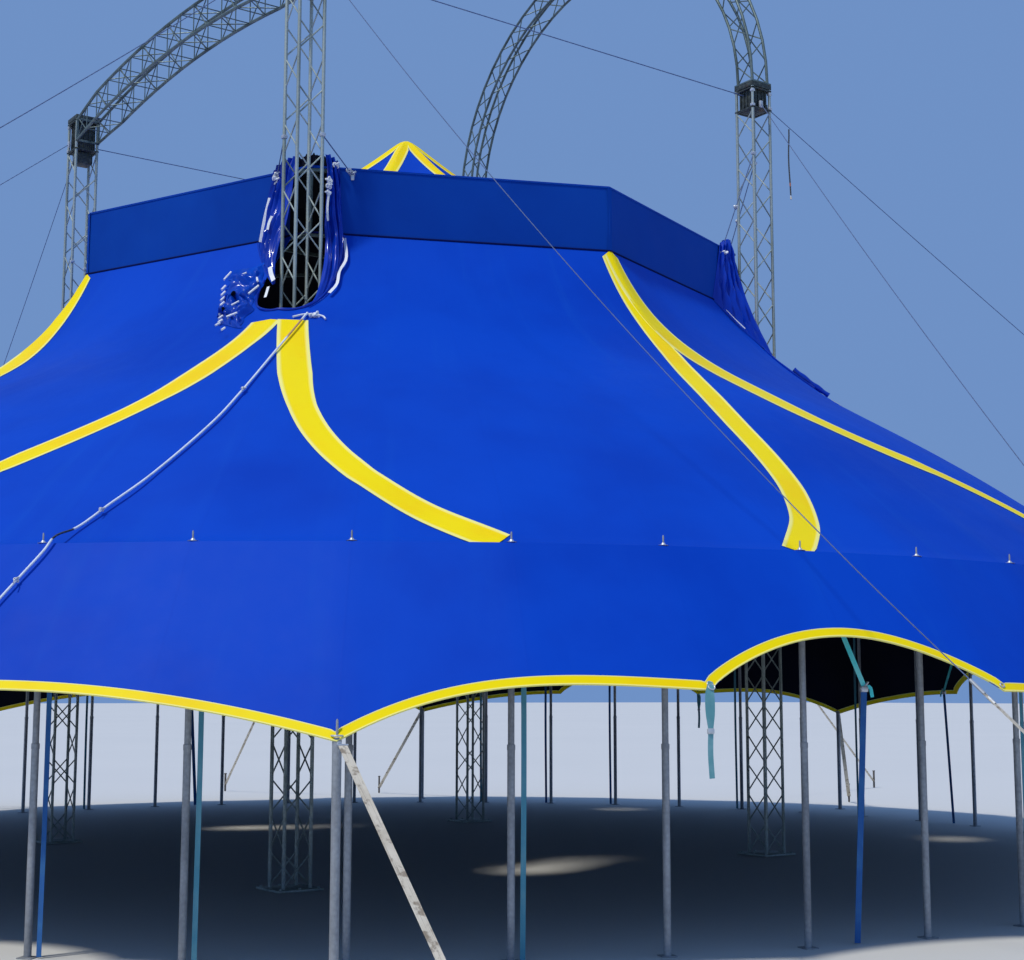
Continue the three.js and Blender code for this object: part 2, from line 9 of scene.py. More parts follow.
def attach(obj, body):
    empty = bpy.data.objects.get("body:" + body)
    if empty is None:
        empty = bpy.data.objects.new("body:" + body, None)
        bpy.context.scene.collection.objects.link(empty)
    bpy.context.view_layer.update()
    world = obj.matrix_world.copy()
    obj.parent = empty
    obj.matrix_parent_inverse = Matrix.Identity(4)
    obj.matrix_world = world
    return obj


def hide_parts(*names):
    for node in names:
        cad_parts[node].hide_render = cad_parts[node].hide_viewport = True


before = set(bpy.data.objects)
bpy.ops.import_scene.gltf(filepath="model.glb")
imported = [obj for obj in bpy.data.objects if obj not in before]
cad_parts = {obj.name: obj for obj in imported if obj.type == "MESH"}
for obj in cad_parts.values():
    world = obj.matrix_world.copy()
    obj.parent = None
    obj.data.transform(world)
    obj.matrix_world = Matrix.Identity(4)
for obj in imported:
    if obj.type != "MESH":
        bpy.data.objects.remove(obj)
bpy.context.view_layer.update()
scene = bpy.context.scene
scene.view_settings.view_transform = "Standard"

# Sizes in metres, as in the frame
SKIN = 0.008
MAST_OFFSET = 4.075
MAST_WIDTH = 0.37
CHORD_RADIUS = 0.024
BRACE_RADIUS = 0.0105
GIRDER_BRACE = 0.009
FRONT_HEAD = (11.72, 12.34)
BACK_HEAD = (11.76, 12.20)
HEAD_HALF = 0.21
HEAD_SIDE = 0.42
HEAD_CORE = 0.31
CAP_DEPTH = 0.09
GIRDER_END = 12.06
GIRDER_CAMBER = 0.32
GIRDER_WIDTH = 0.45
ARCH_RISE = 3.61
ARCH_WIDTH = 0.33
HOIST_TURN = 5.8
HOIST_END = 9.33
CUPOLA_RADIUS = 5.43
BAND_BOTTOM = 8.5
BAND_TOP = 9.425
PEAK_HEIGHT = 11.59
RING_RADIUS = 11.41
RING_HEIGHT = 3.82
RING_BAYS = 48
BELT_HALF = 0.04
ROOF_INSET = BELT_HALF + 0.00402
VALANCE_OUTSET = BELT_HALF + 0.0051
STEEP_PLAIN = 1.49
STEEP_MAST = 0.94
EAVE_LOOSE = 2.45
EAVE_STAKED = 2.02
FALL = 0.774
FIRST_STAKED = -33.75
STAKE_RADIUS = 15.0
POLE_RADIUS = 0.036
EAVE_POLE_RADIUS = 0.04
CABLE_RADIUS = 0.008
GUY_RADIUS = 0.006
STRAP_THICKNESS = 0.004
STRIPE_WIDTH = 0.30
RIDGE_WIDTH = 0.27
HEM_WIDTH = 0.10
BAY_WIDTH = 1.4935
BAY = 360 / RING_BAYS
FIRST_POLE = BAY / 2
HALF_SIDE = math.radians(22.5)
APOTHEM = CUPOLA_RADIUS * math.cos(HALF_SIDE)
NORTH = Vector((0, 1, 0))
UP = Vector((0, 0, 1))


# Camera at the photograph's viewing angle
def place_camera():
    eye = Vector((22.875, -13.963, 2.4))
    heading, pitch, roll = (math.radians(a) for a in (144.787, 7.434, 0.079))
    focal_pixels, image_width, sensor = 1652.6, 1024, 36.0
    level = math.cos(pitch)
    ahead = Vector((math.cos(heading) * level, math.sin(heading) * level, math.sin(pitch)))
    right = ahead.cross(UP).normalized()
    top = right.cross(ahead)
    turned = math.cos(roll) * right + math.sin(roll) * top
    risen = math.cos(roll) * top - math.sin(roll) * right
    data = bpy.data.cameras.new("camera")
    data.sensor_width = sensor
    data.lens = focal_pixels * sensor / image_width
    data.clip_start, data.clip_end = 0.1, 2000
    camera = bpy.data.objects.new("camera", data)
    scene.collection.objects.link(camera)
    camera.matrix_world = Matrix((turned, risen, -ahead)).transposed().to_4x4()
    camera.location = eye
    scene.camera = camera


place_camera()


# Places on the tent's surfaces, worked out for whole arrays of azimuths in degrees
def on_circle(radius, azimuth, height):
    turn = np.radians(azimuth)
    return np.stack([radius * np.cos(turn), radius * np.sin(turn), height + 0 * turn], axis=-1)


def polygon_radius(azimuth, apothem, step=45, first=0):
    away = np.mod(azimuth - first, step) - step / 2
    return apothem / np.cos(np.radians(away))


def ring_edge(azimuth, outward=0.0):
    flat = math.cos(math.radians(BAY / 2))
    return polygon_radius(azimuth, (RING_RADIUS + outward) * flat, BAY, FIRST_POLE)


def roof_edges(azimuth):
    """Distances of the roof's inner and outer edge from the middle"""
    return polygon_radius(azimuth, APOTHEM + 0.01146), ring_edge(azimuth, -ROOF_INSET)


def roof(azimuth, t, sag=0.0):
    """Places on the roof at a share t of its run, from the cupola to the ring"""
    inner, outer = roof_edges(azimuth)
    near_mast = 0.5 - 0.5 * np.cos(4 * np.radians(azimuth))
    steep = STEEP_PLAIN + (STEEP_MAST - STEEP_PLAIN) * near_mast
    drop = t + steep * t * (1 - t) ** 4
    height = BAND_BOTTOM + (RING_HEIGHT - BAND_BOTTOM) * drop
    return on_circle(inner + (outer - inner) * t, azimuth, height - sag)


def dip(azimuth, t):
    """How far the roof sags between the side poles, just above the ring"""
    between = 0.5 - 0.5 * np.cos(2 * math.pi * (azimuth - FIRST_POLE) / BAY)
    return 0.022 * between * np.sin(math.pi * np.clip((t - 0.84) / 0.16, 0, 1))


def roof_over(plan, lift=0.0):
    """Places on the roof over places in plan, raised by lift"""
    azimuth = np.degrees(np.arctan2(plan[:, 1], plan[:, 0]))
    inner, outer = roof_edges(azimuth)
    t = np.clip((np.hypot(plan[:, 0], plan[:, 1]) - inner) / (outer - inner), 0, 1)
    steepness = np.radians(38 + 22 * (1 - t) ** 4)
    return roof(azimuth, t, dip(azimuth, t)) + on_circle(np.sin(steepness) * lift, azimuth,
                                                         np.cos(steepness) * lift)


def eave_height(azimuth):
    """Height of the scalloped edge: of three spans, the first and the last meet a staked corner"""
    place = np.mod(azimuth - FIRST_STAKED, 45) / 15
    span = np.floor(place + 1e-9)
    u = np.clip(place - span, 0, 1)
    drop = EAVE_LOOSE - EAVE_STAKED
    first = EAVE_LOOSE + 0.06 * np.sin(math.pi * u) - drop * (1 - u) ** 4
    middle = EAVE_LOOSE + 0.51 * np.sin(math.pi * u) ** 0.8
    last = EAVE_LOOSE - drop * u ** 2
    span = np.mod(span, 3)
    return np.where(span == 0, first, np.where(span == 1, middle, last))


def valance(azimuth, t):
    """Places on the sloping eave at a share t of its drop"""
    height = RING_HEIGHT + (eave_height(azimuth) - RING_HEIGHT) * t
    return on_circle(ring_edge(azimuth, VALANCE_OUTSET) + (RING_HEIGHT - height) * FALL, azimuth, height)


# Lines
def unit(vectors):
    return vectors / np.linalg.norm(vectors, axis=-1, keepdims=True)


def length_of(line):
    return float(np.linalg.norm(np.diff(line, axis=0), axis=1).sum())


def step_at(share, steps):
    return np.rint(share * steps).astype(int)


def smooth_line(places, steps):
    """A smooth curve through places, as steps + 1 points an even way apart"""
    p = np.array([tuple(q) for q in places], float)
    p = np.vstack([2 * p[0] - p[1], p, 2 * p[-1] - p[-2]])
    knot = np.concatenate([[0], np.cumsum(np.sqrt(np.linalg.norm(np.diff(p, axis=0), axis=1)))])

    def blend(t, low, high, first, last):
        return (high - t) / (high - low) * first + (t - low) / (high - low) * last

    dense = []
    for i in range(1, len(p) - 2):
        t0, t1, t2, t3 = knot[i - 1:i + 3]
        for t in np.linspace(t1, t2, 40, endpoint=False):
            a, b = blend(t, t0, t1, p[i - 1], p[i]), blend(t, t1, t2, p[i], p[i + 1])
            c = blend(t, t2, t3, p[i + 1], p[i + 2])
            dense.append(blend(t, t1, t2, blend(t, t0, t2, a, b), blend(t, t1, t3, b, c)))
    dense = np.array(dense + [p[-2]])
    run = np.concatenate([[0], np.cumsum(np.linalg.norm(np.diff(dense, axis=0), axis=1))])
    even = np.linspace(0, run[-1], steps + 1)
    return np.stack([np.interp(even, run, dense[:, k]) for k in range(3)], axis=1)


def frames_along(line, face=None):
    """Side and normal at each point of a line"""
    run = unit(np.gradient(line, axis=0))
    if face is not None:
        side = unit(np.cross(run, np.broadcast_to(np.asarray(face, float), run.shape)))
        return side, np.cross(side, run)
    side = np.cross(run[0], (0, 0, 1.0) if abs(run[0, 2]) < 0.9 else (1.0, 0, 0))
    sides = []
    for t in run:
        side = unit(side - t * (side @ t))
        sides.append(side)
    return np.array(sides), np.cross(sides, run)


# Making pieces
def pick(*pieces):
    bpy.ops.object.select_all(action="DESELECT")
    for piece in pieces:
        piece.select_set(True)
    if pieces:
        bpy.context.view_layer.objects.active = pieces[0]


def mode(kind):
    bpy.ops.object.mode_set(mode=kind)


def named(piece, name):
    piece.name = name
    piece.data.name = name
    return piece


def close_up(piece, distance=1e-5):
    """Merges doubled vertices and turns the faces outward"""
    pick(piece)
    mode("EDIT")
    bpy.ops.mesh.select_all(action="SELECT")
    bpy.ops.mesh.remove_doubles(threshold=distance)
    bpy.ops.mesh.dissolve_degenerate()
    bpy.ops.mesh.normals_make_consistent(inside=False)
    mode("OBJECT")
    return piece


def delete_faces(piece, chosen):
    """Deletes the faces for which chosen, one truth for each face, holds"""
    pick(piece)
    mode("EDIT")
    bpy.ops.mesh.select_mode(type="FACE")
    bpy.ops.mesh.select_all(action="DESELECT")
    mode("OBJECT")
    piece.data.polygons.foreach_set("select", np.asarray(chosen, bool))
    mode("EDIT")
    bpy.ops.mesh.delete(type="FACE")
    bpy.ops.mesh.select_mode(type="VERT")
    mode("OBJECT")


def smooth(piece, angle=35):
    pick(piece)
    bpy.ops.object.shade_smooth_by_angle(angle=math.radians(angle))
    return piece


def join(name, pieces):
    pieces = list(pieces)
    pick(*pieces)
    if len(pieces) > 1:
        bpy.ops.object.join()
    return named(bpy.context.view_layer.objects.active, name)


def copies(name, piece, azimuths):
    """Copies of a piece, each with its own mesh, turned about the tent's middle and joined"""
    made = []
    for azimuth in azimuths:
        copy = piece.copy()
        copy.data = piece.data.copy()
        copy.data.transform(Matrix.Rotation(math.radians(azimuth), 4, "Z"))
        scene.collection.objects.link(copy)
        made.append(copy)
    return join(name, made)


def shaped(name, columns, rows, place, size=(1.0, 1.0)):
    """A grid whose every vertex is moved to place(u, v), with a UV map of that size in metres"""
    pick()
    bpy.ops.mesh.primitive_grid_add(x_subdivisions=columns, y_subdivisions=rows, size=1)
    piece = named(bpy.context.object, name)
    mesh = piece.data
    flat = np.zeros(len(mesh.vertices) * 3)
    mesh.vertices.foreach_get("co", flat)
    u, v = np.clip(flat.reshape(-1, 3)[:, :2].T + 0.5, 0, 1)
    mesh.vertices.foreach_set("co", np.ascontiguousarray(place(u, v), dtype=float).ravel())
    corner = np.zeros(len(mesh.loops), dtype=int)
    mesh.loops.foreach_get("vertex_index", corner)
    layer = mesh.uv_layers.active or mesh.uv_layers.new(name="UVMap")
    layer.data.foreach_set("uv", np.stack([u[corner] * size[0], v[corner] * size[1]], axis=1).ravel())
    mesh.update()
    return piece


def thick(piece, thickness, *finishes):
    """Gives a skin its thickness; of two finishes the second goes on the inside"""
    for finish in finishes:
        piece.data.materials.append(finish)
    pick(piece)
    shell = piece.modifiers.new("shell", "SOLIDIFY")
    shell.thickness, shell.offset = thickness, 0.0
    shell.material_offset = max(0, len(finishes) - 1)
    bpy.ops.object.modifier_apply(modifier=shell.name)
    return piece


def tube(name, line, radius, sides):
    """A round bar along a line, closed at both ends; radius is one number or one for each point"""
    line = np.asarray(line, float)
    radii = np.concatenate([[0], np.broadcast_to(np.asarray(radius, float), (len(line),)), [0]])
    side, normal, line = (np.vstack([rows[:1], rows, rows[-1:]]) for rows in (*frames_along(line), line))
    steps = len(line) - 1

    def place(u, v):
        i = step_at(u, steps)
        turn = 2 * math.pi * v
        away = np.cos(turn)[:, None] * side[i] + np.sin(turn)[:, None] * normal[i]
        return line[i] + radii[i][:, None] * away

    piece = shaped(name, steps, sides, place, (length_of(line), 2 * math.pi * float(radii.max())))
    return smooth(close_up(piece))


def rods(name, lines, radius, sides=8):
    """Many straight or bent round bars as one mesh"""
    curve = bpy.data.curves.new(name, "CURVE")
    curve.dimensions = "3D"
    curve.bevel_depth = radius
    curve.bevel_resolution = max(0, sides // 2 - 2)
    curve.use_fill_caps = True
    for line in lines:
        spline = curve.splines.new("POLY")
        spline.points.add(len(line) - 1)
        for point, place in zip(spline.points, line):
            point.co = (*place, 1)
    piece = bpy.data.objects.new(name, curve)
    scene.collection.objects.link(piece)
    pick(piece)
    bpy.ops.object.convert(target="MESH")
    return smooth(named(bpy.context.object, name))


def ribbon(name, line, width, face, thickness=0.003):
    """A flat strap along a line"""
    line = np.asarray([tuple(p) for p in line], float)
    side, _ = frames_along(line, face)
    steps = len(line) - 1

    def place(u, v):
        i = step_at(u, steps)
        return line[i] + side[i] * ((v - 0.5) * width)[:, None]

    return smooth(thick(shaped(name, steps, 2, place, (length_of(line), width)), thickness))


def block(name, center, size, bevel=0.004, azimuth=0.0):
    """A box with bevelled edges, turned about the vertical"""
    pick()
    bpy.ops.mesh.primitive_cube_add(size=1, location=tuple(center), rotation=(0, 0, math.radians(azimuth)),
                                    scale=tuple(size))
    piece = named(bpy.context.object, name)
    pick(piece)
    bpy.ops.object.transform_apply(location=True, rotation=True, scale=True)
    mode("EDIT")
    bpy.ops.mesh.select_all(action="SELECT")
    bpy.ops.mesh.bevel(offset=min(bevel, 0.45 * min(size)), segments=2, affect="EDGES")
    mode("OBJECT")
    return smooth(piece)


def turned_part(name, profile, sides=16, center=(0, 0)):
    """A piece turned on a vertical axis from a profile of (radius, height)"""
    radii, heights = np.array(profile, float).T
    steps = len(profile) - 1

    def place(u, v):
        i = step_at(v, steps)
        turn = 2 * math.pi * u
        x, y = center[0] + radii[i] * np.cos(turn), center[1] + radii[i] * np.sin(turn)
        return np.stack([x, y, heights[i]], axis=1)

    return smooth(close_up(shaped(name, sides, steps, place)), 30)


# Finishes
class Wire:
    """An output socket, on which Python's operators add Math nodes"""

    def __init__(self, finish, socket):
        self.finish, self.socket = finish, socket

    def maths(self, operation, *values):
        return self.finish.node("ShaderNodeMath", {"operation": operation}, list(values))

    def __add__(self, other): return self.maths("ADD", self, other)
    def __radd__(self, other): return self.maths("ADD", other, self)
    def __sub__(self, other): return self.maths("SUBTRACT", self, other)
    def __rsub__(self, other): return self.maths("SUBTRACT", other, self)
    def __mul__(self, other): return self.maths("MULTIPLY", self, other)
    def __rmul__(self, other): return self.maths("MULTIPLY", other, self)
    def __truediv__(self, other): return self.maths("DIVIDE", self, other)
    def sine(self): return self.maths("SINE", self)
    def size(self): return self.maths("ABSOLUTE", self)
    def cycle(self, length): return self.maths("PINGPONG", self, length)

    def rise(self, low, high):
        """0 below low, 1 above high, smooth between"""
        return self.finish.node("ShaderNodeMapRange", {"interpolation_type": "SMOOTHSTEP"},
                                {"Value": self, "From Min": low, "From Max": high})


class Finish:
    """A material, whose nodes come from one method"""

    def __init__(self, name):
        self.material = bpy.data.materials.new(name)
        self.material.use_nodes = True
        self.tree = self.material.node_tree
        self.tree.nodes.clear()

    def node(self, kind, settings=None, inputs=None, output=0):
        made = self.tree.nodes.new(kind)
        for key, value in (settings or {}).items():
            setattr(made, key, value)
        pairs = inputs.items() if isinstance(inputs, dict) else enumerate(inputs or [])
        for key, value in pairs:
            if isinstance(value, Wire):
                self.tree.links.new(value.socket, made.inputs[key])
            else:
                made.inputs[key].default_value = value
        return Wire(self, made.outputs[output])

    def place(self, scale=(1, 1, 1), source="Object"):
        found = self.node("ShaderNodeTexCoord", output=source)
        return self.node("ShaderNodeMapping", None, {"Vector": found, "Scale": scale})

    def along(self, scale=(1, 1, 1)):
        return self.place(scale, "UV")

    def part(self, axis):
        """One side of the piece's own UV map, in metres"""
        return self.node("ShaderNodeSeparateXYZ", None, {"Vector": self.along()}, axis)

    def strands(self, twist, around):
        """Ridges of three strands laid round a rope"""
        return ((self.part(0) / twist + self.part(1) * (3 / around)) * (2 * math.pi)).sine()

    def noise(self, vector, scale, detail=4.0, rough=0.55):
        return self.node("ShaderNodeTexNoise", None,
                         {"Vector": vector, "Scale": scale, "Detail": detail, "Roughness": rough}, "Fac")

    def mix(self, factor, first, second):
        return self.node("ShaderNodeMix", {"data_type": "RGBA"}, {0: factor, 6: first, 7: second}, 2)

    def bump(self, height, distance, strength=1.0):
        inputs = {"Height": height, "Distance": distance, "Strength": strength}
        return self.node("ShaderNodeBump", None, inputs, "Normal")

    def surface(self, **sockets):
        inputs = {key.replace("_", " ").title().replace("Ior", "IOR"): sockets[key] for key in sockets}
        shader = self.node("ShaderNodeBsdfPrincipled", None, inputs)
        out = self.tree.nodes.new("ShaderNodeOutputMaterial")
        self.tree.links.new(shader.socket, out.inputs["Surface"])
        return self.material


def rgb(red, green, blue):
    """A colour given in screen values, as the shader's own"""
    def straight(c):
        c = c / 255
        return c / 12.92 if c < 0.04045 else ((c + 0.055) / 1.055) ** 2.4
    return (straight(red), straight(green), straight(blue), 1.0)


def coated_cloth(name, colour, shade, dust, rough=0.5, creases=0.012, seams=0.0, coat=0.0):
    """PVC-coated cloth: soft mottling, dust in runs, fine weave, creases, and welded seams along v"""
    f = Finish(name)
    cloudy = f.noise(f.place(), 0.35, 5.0).rise(0.35, 0.68)
    fine = f.noise(f.place(), 3.5, 6.0)
    runs = f.noise(f.along((2.6, 0.22, 1)), 1.0, 6.0).rise(0.52, 0.78)
    tone = f.mix(cloudy, colour, shade)
    tone = f.mix(runs * (0.10 + 0.12 * fine), tone, dust)
    weave = (f.part(0) * 900.0).sine() * (f.part(1) * 900.0).sine()
    crease = f.noise(f.place((1, 1, 0.5)), 1.6, 3.0, 0.5)
    height = crease + 0.012 * weave + 0.05 * fine
    if seams:
        weld = 1.0 - (f.part(0) + seams / 2).cycle(seams / 2).rise(0.0, 0.022)
        tone = f.mix(weld * 0.15, tone, shade)
        height = height + 0.05 * weld
    return f.surface(base_color=tone, roughness=rough + 0.14 * fine - 0.05 * cloudy,
                     normal=f.bump(height, creases, 0.5), coat_weight=coat, coat_roughness=0.12,
                     specular_ior_level=0.07)


def trim_cloth(name, width):
    """Yellow strip: dirt, patches of a warmer yellow and a paler welded edge on both sides"""
    f = Finish(name)
    edge = (f.part(1) - width / 2).size().rise(0.34 * width, 0.44 * width)
    patch = f.noise(f.place(), 0.8, 4.0).rise(0.45, 0.7)
    grime = f.noise(f.place(), 6.0, 6.0)
    tone = f.mix(patch, rgb(255, 228, 0), rgb(255, 216, 0))
    tone = f.mix(edge * 0.85, tone, rgb(252, 246, 150))
    tone = f.mix(grime.rise(0.6, 0.9) * 0.15, tone, rgb(170, 140, 30))
    return f.surface(base_color=tone, roughness=0.4 + 0.15 * grime, specular_ior_level=0.1,
                     normal=f.bump(grime + 2.0 * edge, 0.002, 0.6))


def zinc_steel(name, colour, dark, rough=0.42, metal=0.55):
    """Galvanised steel: spangle, and grime in runs"""
    f = Finish(name)
    cells = f.node("ShaderNodeTexVoronoi", None, {"Vector": f.place(), "Scale": 28.0}, "Distance")
    grime = f.noise(f.place((1, 1, 0.25)), 3.0, 6.0).rise(0.42, 0.75)
    tone = f.mix(grime * 0.7, colour, dark)
    tone = f.mix(cells * 0.35, tone, dark)
    return f.surface(base_color=tone, metallic=metal, roughness=rough + 0.2 * cells + 0.12 * grime,
                     normal=f.bump(cells + grime, 0.0015, 0.4))


def painted_steel(name, colour, worn, rust):
    f = Finish(name)
    fine = f.noise(f.place(), 18.0, 6.0)
    spot = f.noise(f.place(), 5.0, 5.0).rise(0.6, 0.72)
    tone = f.mix(fine.rise(0.4, 0.7), colour, worn)
    tone = f.mix(spot * 0.6, tone, rust)
    return f.surface(base_color=tone, metallic=0.3, roughness=0.5 + 0.25 * fine,
                     normal=f.bump(fine + spot, 0.002, 0.5))


def webbing(name, colour, pale, stain=None):
    """Woven strap: ribs across it, faded and dirty in patches"""
    f = Finish(name)
    rib, edge = (f.part(0) * 1250.0).sine(), (f.part(1) * 180.0).sine()
    worn = f.noise(f.place(), 4.0, 5.0).rise(0.4, 0.75)
    tone = f.mix(worn * 0.6, colour, pale)
    if stain:
        streak = f.noise(f.along((2.5, 60, 1)), 1.0, 5.0).rise(0.5, 0.72)
        blot = f.noise(f.place(), 11.0, 6.0).rise(0.52, 0.66)
        tone = f.mix(streak * 0.5, tone, stain)
        tone = f.mix(blot * 0.7, tone, stain)
    return f.surface(base_color=tone, roughness=0.75 + 0.1 * worn,
                     normal=f.bump(rib + 0.4 * edge, 0.001, 0.5))


def laid_rope(name, colour, dark, twist, around):
    """Twisted strands, from the rope's own UV map; the grooves between strands are painted darker, as painted
    shade
    """
    f = Finish(name)
    strand = f.strands(twist, around)
    dirt = f.noise(f.place(), 9.0, 5.0)
    # Darker in the grooves between strands: painted shade
    tone = f.mix(strand.rise(-1.0, 0.2), dark, colour)
    tone = f.mix(dirt.rise(0.5, 0.8) * 0.5, tone, dark)
    return f.surface(base_color=tone, roughness=0.7 + 0.2 * dirt, normal=f.bump(strand, 0.003, 0.7))


roof_cloth = coated_cloth("roof_cloth", rgb(2, 70, 194), rgb(1, 60, 180), rgb(24, 98, 198), seams=BAY_WIDTH)
band_canvas = coated_cloth("band_canvas", rgb(7, 68, 166), rgb(5, 57, 150), rgb(26, 84, 170), 0.55)
sleeve_vinyl = coated_cloth("sleeve_vinyl", rgb(2, 56, 182), rgb(1, 30, 128), rgb(60, 112, 205), 0.26, 0.03,
                            coat=0.5)
heap_vinyl = coated_cloth("heap_vinyl", rgb(1, 84, 208), rgb(1, 46, 156), rgb(30, 125, 225), 0.4, 0.03,
                          coat=0.35)
# Dark navy finish for the painted shadow line along the foot of the cupola's band
shadow_line_cloth = coated_cloth("shadow_line_cloth", rgb(8, 22, 84), rgb(4, 14, 60), rgb(16, 36, 100), 0.7)
underside = coated_cloth("underside", rgb(10, 14, 34), rgb(6, 8, 22), rgb(24, 30, 50), 0.75)
stripe_yellow = trim_cloth("stripe_yellow", STRIPE_WIDTH)
hem_yellow = trim_cloth("hem_yellow", HEM_WIDTH)
galvanised = zinc_steel("galvanised", rgb(186, 196, 190), rgb(104, 118, 112))
truss_steel = zinc_steel("truss_steel", rgb(116, 132, 130), rgb(52, 68, 68))
pole_zinc = zinc_steel("pole_zinc", rgb(176, 180, 184), rgb(112, 116, 122), 0.48)
head_steel = painted_steel("head_steel", rgb(52, 60, 60), rgb(84, 92, 88), rgb(110, 78, 52))
fitting_steel = zinc_steel("fitting_steel", rgb(214, 218, 222), rgb(150, 154, 160), 0.3, 0.5)
stake_steel = painted_steel("stake_steel", rgb(88, 84, 80), rgb(120, 112, 104), rgb(120, 72, 44))
strap_pale = webbing("strap_pale", rgb(224, 214, 194), rgb(172, 158, 134), rgb(112, 90, 66))
# One cyan webbing in two copies: this one is the lit copy, and the darker copy on the next line is painted
# shade for the cyan straps that hang beside the poles under the eave
strap_cyan = webbing("strap_cyan", rgb(80, 232, 238), rgb(160, 240, 240))
strap_cyan_shaded = webbing("strap_cyan_shaded", rgb(84, 156, 178), rgb(124, 178, 190))
strap_teal = webbing("strap_teal", rgb(96, 160, 168), rgb(160, 200, 206))
strap_blue = webbing("strap_blue", rgb(30, 95, 165), rgb(70, 130, 180))
cable_steel = laid_rope("cable_steel", rgb(112, 134, 176), rgb(62, 76, 108), 0.09, 0.038)
knot_rope = laid_rope("knot_rope", rgb(232, 236, 240), rgb(160, 164, 172), 0.04, 0.05)
white_tape = webbing("white_tape", rgb(246, 248, 250), rgb(214, 220, 228))


def dress(piece, finish, replaces=()):
    """Gives a finished piece its finish and body, and hides the parts it replaces"""
    if finish:
        piece.data.materials.append(finish)
    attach(piece, "root")
    if replaces:
        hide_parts(*replaces)
    return piece


# Sides of the mast, azimuth of its cupola corner, and height on the mast, azimuth, reach and slack of its
# end guy and side guy
MASTS = {
    "front_left": (-1, -1, -135, (11.85, -164, 16.554, 0.22), (11.85, -112, 21.0, 0.09)),
    "front_right": (1, -1, -45, (12.10, -6, 16.0, 0.55), (12.20, -65.6, 21.0, 0.31)),
    "back_right": (1, 1, 45, (11.83, 6.6, 15.0, 0.27), (11.86, 64, 21.66, 0.15)),
    "back_left": (-1, 1, 135, (11.83, 164, 16.554, 0.22), (11.86, 112, 21.0, 0.09)),
}


# Ropes that hang or lie free
ROPE_RADIUS = 0.015
ROPE_RISE = 0.045
ROPE_END = 0.35
BARE_START, BARE_END = 0.572, 0.603
BARE_RADIUS = 0.0105
TAIL_RADIUS = 0.012
TAIL_LENGTH = 1.18
TAIL_PLACE = 0.14
CABLE_START = 0.0263
STAKE_HOOK = 0.16


def guy_route(side, which):
    """Places along a guy from the mast head to its stake"""
    sx, sy = MASTS[side][:2]
    top, azimuth, radius, slack = MASTS[side][3 + which]
    start = Vector((sx * MAST_OFFSET, sy * MAST_OFFSET, top))
    stake = Vector(on_circle(radius, azimuth, 0.0))
    away = Vector((stake.x - start.x, stake.y - start.y, 0)).normalized()
    face = HEAD_HALF / max(abs(away.x), abs(away.y))
    begin, end = start + away * (face + CABLE_START), stake + STAKE_HOOK * UP
    places = [begin.lerp(end, i / 6) - slack * 4 * (i / 6) * (1 - i / 6) * UP for i in range(7)]
    along_x = abs(away.x) > abs(away.y)
    out = Vector((math.copysign(along_x, away.x), math.copysign(not along_x, away.y), 0))
    return {"places": places, "stake": stake, "lug": start + away * face + out * 0.02, "along_x": along_x}


def rope_places():
    """Route of the sleeved rope: over the canopy, the ring and the valance, then down to its end"""
    def off(place, azimuth, radial, vertical):
        return place + on_circle(ROPE_RISE * radial, azimuth, ROPE_RISE * vertical)

    places = [off(roof(azimuth, t), azimuth, 0.55, 0.83)
              for azimuth, t in ((-41.68, 0.23), (-42.36, 0.388), (-43.01, 0.593), (-43.62, 0.689),
                                 (-45.49, 0.845), (-46.68, 0.914), (-47.56, 0.97))]
    places.append(off(on_circle(RING_RADIUS, -48.05, RING_HEIGHT), -48.05, 0.9, 1.5))
    places += [off(valance(azimuth, t), azimuth, 0.85, 0.65)
               for azimuth, t in ((-48.25, 0.07), (-48.8, 0.25), (-49.4, 0.467), (-50, 0.75), (-50.4, 0.95))]
    edge = valance(-50.5, 1.0)
    reach = math.hypot(edge[0], edge[1]) + 0.085
    return places + [on_circle(reach, -50.5, edge[2] - 0.15), on_circle(reach + 0.02, -50.7, 1.3),
                     on_circle(reach + 0.04, -50.6, ROPE_END)]


def overhand(name, center, size, radius, turn):
    """A knot: a trefoil of rope, drawn tight"""
    s = np.linspace(0, 2 * math.pi, 60)
    x, y, z = np.sin(s) + 2 * np.sin(2 * s), np.cos(s) - 2 * np.cos(2 * s), -np.sin(3 * s)
    cos, sin = math.cos(turn), math.sin(turn)
    loop = np.stack([x * cos - z * sin, y, x * sin + z * cos], axis=1) * (size / 3)
    return tube(name, loop + np.array(center), radius, 8)


